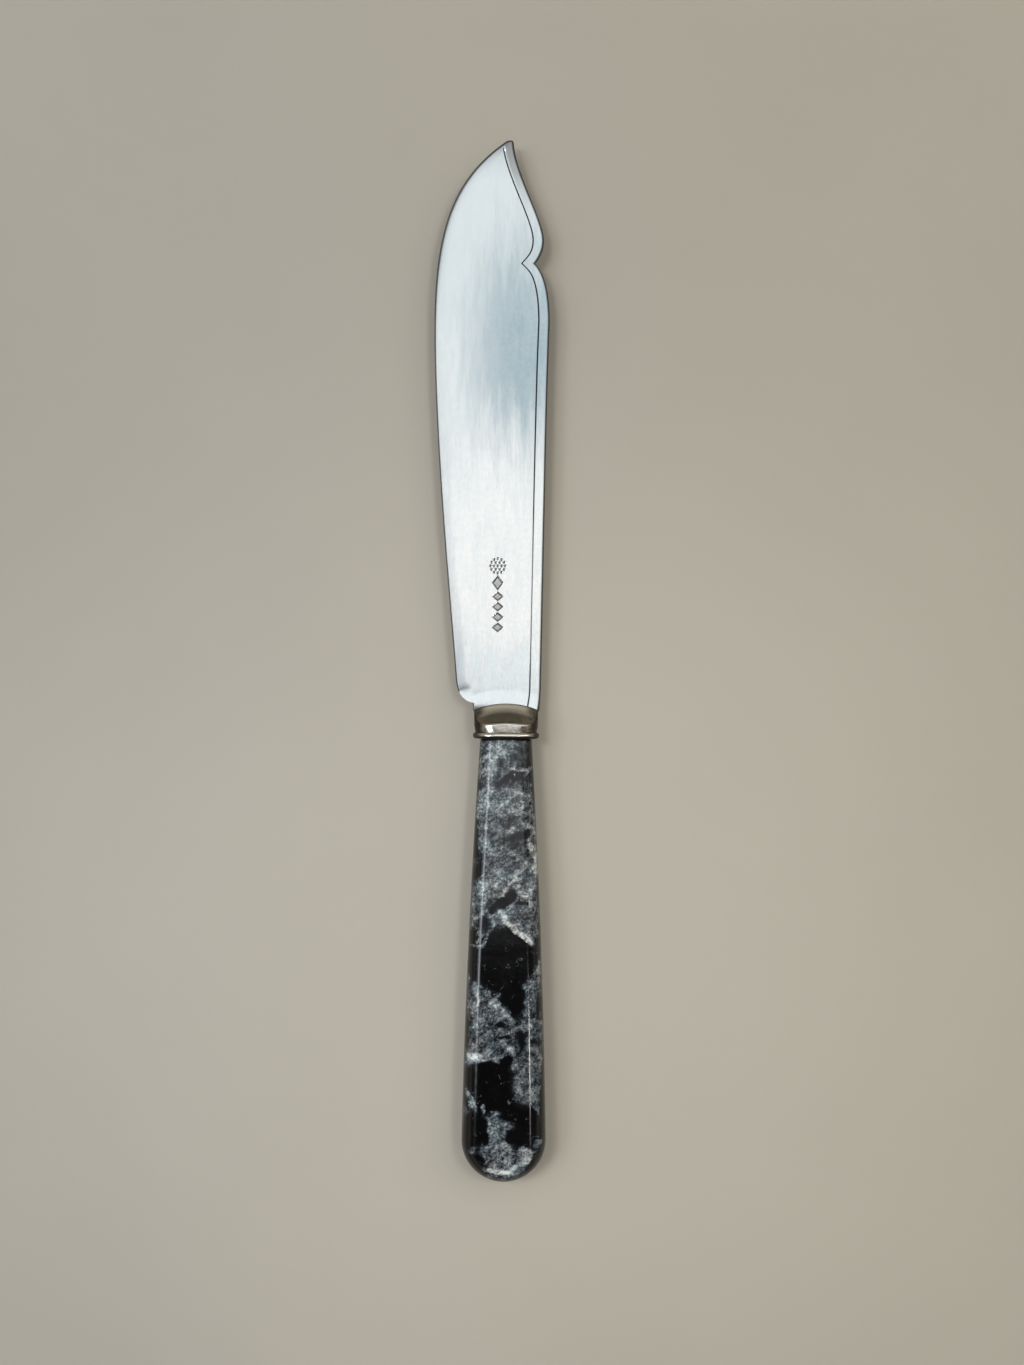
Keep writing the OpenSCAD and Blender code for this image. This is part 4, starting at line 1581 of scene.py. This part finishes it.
@dataclass
class Handle:
    """The stone handle, which widens to a half-round butt and has flat broad faces."""

    axes: KnifeAxes
    corner_height_share: float = 0.62
    corner_width_share: float = 0.42
    neck_corner_share: float = 0.58
    taper_bow: float = 0.55
    thicken_share: float = 0.7
    neck_width: float = 10.4
    neck_height: float = 8.4
    end_round: float = 0.3

    def build(self) -> bpy.types.Object:
        """Builds the handle.

        Returns:
            The handle, which stands for its CAD node.
        """
        box = self.axes.box("handle")
        butt = box.width / 2
        butt_y = box.low.y + butt
        shares = np.concatenate([np.linspace(0, 0.012, 7)[:-1], np.linspace(0.012, 1, 130)[:-1]])
        y_side = butt_y * shares
        bow = shares * (1 + self.taper_bow - self.taper_bow * shares)
        half_width = (self.neck_width + (box.width - self.neck_width) * bow) / 2
        eased = np.sin(np.pi / 2 * np.clip(shares / self.thicken_share, 0, 1))
        half_height = (self.neck_height + (box.height - self.neck_height) * eased) / 2
        near_end = np.clip(1 + y_side / self.end_round, 0, 1)
        chamfer = self.end_round * (1 - np.sqrt(1 - near_end**2))
        turns = np.linspace(0, np.pi / 2, 50)
        side = np.stack([half_width - chamfer, y_side, half_height - chamfer], axis=1)
        high = np.full(len(turns), box.height / 2)
        end = np.stack([butt * np.cos(turns), butt_y - butt * np.sin(turns), high], axis=1)

        share = self.corner_width_share
        shares_side = share + (self.neck_corner_share - share) * smooth(1 - shares / 0.6)
        upper = []
        for corner in np.radians(np.linspace(0, 90, 22)):
            inwards = 1 - math.cos(corner)
            rise = 1 - self.corner_height_share * (1 - math.sin(corner))
            upper.append(self.ring(side, end, butt_y, 1 - shares_side * inwards, 1 - share * inwards, rise))
        for part in np.linspace(1, 0, 14)[1:]:
            upper.append(self.ring(side, end, butt_y, (1 - shares_side) * part, (1 - share) * part, 1.0))
        lower = [part * np.array([1.0, 1.0, -1.0]) for part in upper]
        grid = np.array([*lower[::-1], *upper])
        piece = Skin("handle_dressed", grid, wrap_columns=False).build(self.axes)
        self.close_end(piece)
        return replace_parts(piece, "handle")

    def ring(
        self, side: np.ndarray, end: np.ndarray, butt_y: float, across: np.ndarray, butt: float, rise: float
    ) -> np.ndarray:
        """Draws one outline of the handle.

        Args:
            side: The side's points where the handle is widest and highest.
            end: The same for the butt's half round.
            butt_y: The y of the round's middle.
            across: Share of the width at each point of the side.
            butt: Share of the butt's radius.
            rise: Share of the height.

        Returns:
            The points, from the end face's right down round the butt and up to its left.
        """
        flank = np.stack([side[:, 0] * across, side[:, 1], side[:, 2] * rise], axis=1)
        middle = np.array([0.0, butt_y, 0.0])
        right = np.concatenate([flank, middle + (end - middle) * np.array([butt, butt, rise])])
        return np.concatenate([right, right[-2::-1] * np.array([-1.0, 1.0, 1.0])])

    def close_end(self, piece: bpy.types.Object) -> None:
        """Closes the end face, which the cement bed covers.

        Args:
            piece: The open handle.
        """
        work = bmesh.new()
        work.from_mesh(piece.data)
        bmesh.ops.holes_fill(work, edges=[edge for edge in work.edges if edge.is_boundary])
        work.to_mesh(piece.data)
        work.free()
        piece.data.set_sharp_from_angle(angle=SHARP_ANGLE)


# Scene


@dataclass(frozen=True)
class Opening:
    """A bright part of the world: a range of directions, as run over rise, and its colour."""

    across: Vec2
    along: Vec2
    soft: float
    colour: Rgb


@dataclass(frozen=True)
class Lamp:
    """A soft lamp: its place in millimetres, its size in metres, its power in watts."""

    name: str
    place: Vec3
    size: Vec2
    power: float
    colour: Rgb
    mirrored: bool = True


@dataclass
class Studio:
    """Plain pale floor, soft light from above, and the camera over the knife."""

    axes: KnifeAxes
    lens: float = 52.0
    sensor: float = 36.0
    frame_height: float = 276.14
    aim_x: float = 1.15
    aim_y: float = 11.49
    roll: float = 0.333
    floor_size: float = 8.0
    ceiling: Opening = Opening((-0.3, 0.45), (-0.06, 1.2), 0.05, (0.99, 1.0, 1.0))
    window: Opening = Opening((-1.1, -0.37), (-0.18, 0.7), 0.07, (1.5, 1.65, 1.85))
    pane: Opening = Opening((-0.73, -0.48), (-0.2, 0.3), 0.04, (6.0, 6.2, 6.5))
    doorway: Opening = Opening((0.45, 1.6), (0.1, 0.9), 0.05, (1.7, 1.63, 1.52))
    room_stops: tuple[tuple[float, Rgb], ...] = (
        (0.0, (0.3, 0.275, 0.24)),
        (0.18, (0.26, 0.24, 0.21)),
        (0.35, (0.16, 0.14, 0.12)),
        (0.7, (0.13, 0.12, 0.105)),
        (1.0, (0.045, 0.045, 0.045)),
    )
    dark_end: Rgb = (0.03, 0.027, 0.024)
    backdrop: Rgb = linear(174, 169, 158)
    horizon: Rgb = linear(137, 133, 122)
    lamps: tuple[Lamp, ...] = (
        Lamp("key", (-285.0, 141.0, 1000.0), (0.14, 0.2), 2.9, (1.0, 0.985, 0.94), False),
        Lamp("side", (260.0, 141.0, 1000.0), (0.05, 0.15), 1.6, (1.0, 0.97, 0.92), False),
        Lamp("strip", (262.0, -250.0, 1000.0), (0.075, 0.06), 0.4, (1.0, 0.97, 0.92)),
    )

    def camera(self) -> None:
        """Places the camera straight above the knife."""
        data = bpy.data.cameras.new("camera")
        data.lens = self.lens
        data.sensor_width = self.sensor
        data.sensor_fit = "AUTO"
        data.clip_start = 0.01
        camera = bpy.data.objects.new("camera", data)
        height = self.frame_height * self.lens / self.sensor
        place = Matrix.Translation(self.axes.point(self.aim_x, self.aim_y, height))
        camera.matrix_world = place @ Matrix.Rotation(math.radians(self.roll), 4, "Z")
        bpy.context.scene.collection.objects.link(camera)
        bpy.context.scene.camera = camera

    def floor(self, effects: Effects) -> None:
        """Lays the floor that the knife lies on.

        Args:
            effects: The shared shader groups.
        """
        mesh = bpy.data.meshes.new("floor")
        half = self.floor_size / 2
        corners = [(-half, -half, 0), (half, -half, 0), (half, half, 0), (-half, half, 0)]
        mesh.from_pydata(corners, [], [(0, 1, 2, 3)])
        floor = bpy.data.objects.new("floor", mesh)
        bpy.context.scene.collection.objects.link(floor)
        PaleFloor(self.axes, effects).dress(floor)

    def light(self) -> None:
        """Lights the knife by the world and by soft lamps."""
        world = bpy.data.worlds.new("studio")
        bpy.context.scene.world = world
        world.use_nodes = True
        world.node_tree.nodes.clear()
        bench = Bench(world.node_tree)
        sky = bench.add("ShaderNodeBackground")
        bench.feed(sky.inputs["Color"], self.room(bench))
        bench.feed(sky.inputs["Strength"], 1.0)
        bench.feed(bench.add("ShaderNodeOutputWorld").inputs["Surface"], sky.outputs[0])
        for lamp in self.lamps:
            self.hang(lamp)

    def room(self, bench: Bench) -> Socket:
        """Paints the world: a dim room with pale walls below, and four bright openings above.

        The walls are there only for what is seen or mirrored, and light nothing.

        Args:
            bench: The world's bench.

        Returns:
            The world's colour.
        """
        way = bench.add("ShaderNodeSeparateXYZ")
        bench.feed(way.inputs[0], bench.add("ShaderNodeTexCoord").outputs["Generated"])
        x, y, z = way.outputs
        room = bench.colours(z, self.room_stops)
        room = bench.blend(bench.times(bench.ramp(y, 0.1, -0.5), 0.8), room, self.dark_end)
        rays = bench.add("ShaderNodeLightPath").outputs
        passed = bench.math("MAXIMUM", rays["Is Glossy Ray"], rays["Is Transmission Ray"])
        seen = bench.math("MAXIMUM", rays["Is Camera Ray"], passed)
        wall = bench.blend(bench.ramp(z, 0.02, 0.34), self.horizon, self.backdrop)
        room = bench.blend(bench.times(seen, bench.ramp(z, 0.65, 0.35)), room, wall)
        rise = bench.math("MAXIMUM", z, 0.05)
        across, along = (bench.math("DIVIDE", run, rise) for run in (x, y))
        for opening in (self.ceiling, self.window, self.pane, self.doorway):
            soft = opening.soft
            share = 1.0
            for place, (low, high) in ((along, opening.along), (across, opening.across)):
                share = bench.times(share, bench.ramp(place, low - soft, low + soft))
                share = bench.times(share, bench.ramp(place, high + soft, high - soft))
            room = bench.blend(share, room, opening.colour)
        return room

    def hang(self, lamp: Lamp) -> None:
        """Hangs one soft lamp that faces the knife.

        Args:
            lamp: The lamp.
        """
        data = bpy.data.lights.new(lamp.name, "AREA")
        data.shape = "RECTANGLE"
        data.size, data.size_y = lamp.size
        data.energy = lamp.power
        data.color = lamp.colour
        hung = bpy.data.objects.new(lamp.name, data)
        hung.visible_glossy = lamp.mirrored
        hung.location = self.axes.point(*lamp.place)
        aim = self.axes.point(0.0, 10.0, 0.0) - hung.location
        hung.rotation_euler = aim.to_track_quat("-Z", "Y").to_euler()
        bpy.context.scene.collection.objects.link(hung)


class PaleFloor(Finish):
    """Matt warm grey paper, with faint cloudiness, a painted pool of light round the knife that falls off
    into dimmer paper, and painted cool light over its left side.
    """

    name = "pale_floor"
    colour: Rgb = linear(191, 184, 169)
    cool_light_tint: Rgb = (0.96, 1.0, 1.1)

    def fill(self) -> None:
        """Fills in the shader's sockets."""
        bench = self.bench
        share = bench.times(self.clouds(0.008, 0.3, 0.75), 0.2)
        # Painted pool of light: the paper dims away from a patch round the knife.
        away = self.patch(self.place, (-4.0, -45.0), (85.0, 100.0), 90.0, 0.85)
        share = bench.math("ADD", share, bench.math("MULTIPLY_ADD", away, -0.85, 0.85))
        shade_and_cloud_tone = tuple(part * 0.78 for part in self.colour)
        colour = bench.blend(share, self.colour, shade_and_cloud_tone)
        # Painted cool light over the left side.
        left = self.patch(self.place, (-160.0, 10.0), (260.0, 170.0), 90.0, 0.8)
        colour = bench.blend(bench.times(left, 0.7), colour, self.cool_light_tint, "MULTIPLY")
        fibre = bench.grain(self.place, 1.3, 4.0)
        self.set(Base_Color=colour, Roughness=0.85, Normal=bench.bump(fibre, 0.03, 0.3))


@dataclass
class FishKnife:
    """The whole knife: four dressed pieces, and the small CAD nodes that are kept."""

    axes: KnifeAxes
    effects: Effects

    def build(self) -> None:
        """Builds and dresses every piece."""
        satin = BladeSilver(self.axes, self.effects)
        bright = PolishedSilver(self.axes, self.effects)
        stone = MarbledStone(self.axes, self.effects)
        self.finish(Blade(self.axes).build(), satin, "blade_silver")
        self.finish(Bolster(self.axes).build(), bright, "bolster_silver")
        self.finish(Collar(self.axes).build(), bright, "collar_silver")
        self.finish(Handle(self.axes).build(), stone, "handle_stone")
        kept = {
            DarkCement: ("cement_bed", "cement_core"),
            CastSolder: ("blade_solder", "tang_solder"),
            ForgedIron: ("tang",),
        }
        for kind, nodes in kept.items():
            finish = kind(self.axes, self.effects)
            for node in nodes:
                self.finish(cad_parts[node], finish)

    def finish(self, piece: bpy.types.Object, finish: Finish, slot: str | None = None) -> None:
        """Dresses one piece, as Finish.dress does, and reports it."""
        finish.dress(piece, slot)
        log.info("%s: %d faces, %s", piece.name, len(piece.data.polygons), finish.name)


def main() -> None:
    """Builds the knife and the studio round it."""
    logging.basicConfig(level=logging.INFO, format="%(name)s: %(message)s")
    bpy.context.scene.view_settings.view_transform = "Standard"
    axes = KnifeAxes.from_frame()
    effects = Effects()
    FishKnife(axes, effects).build()
    studio = Studio(axes)
    studio.camera()
    studio.floor(effects)
    studio.light()


if __name__ == "__main__":
    main()
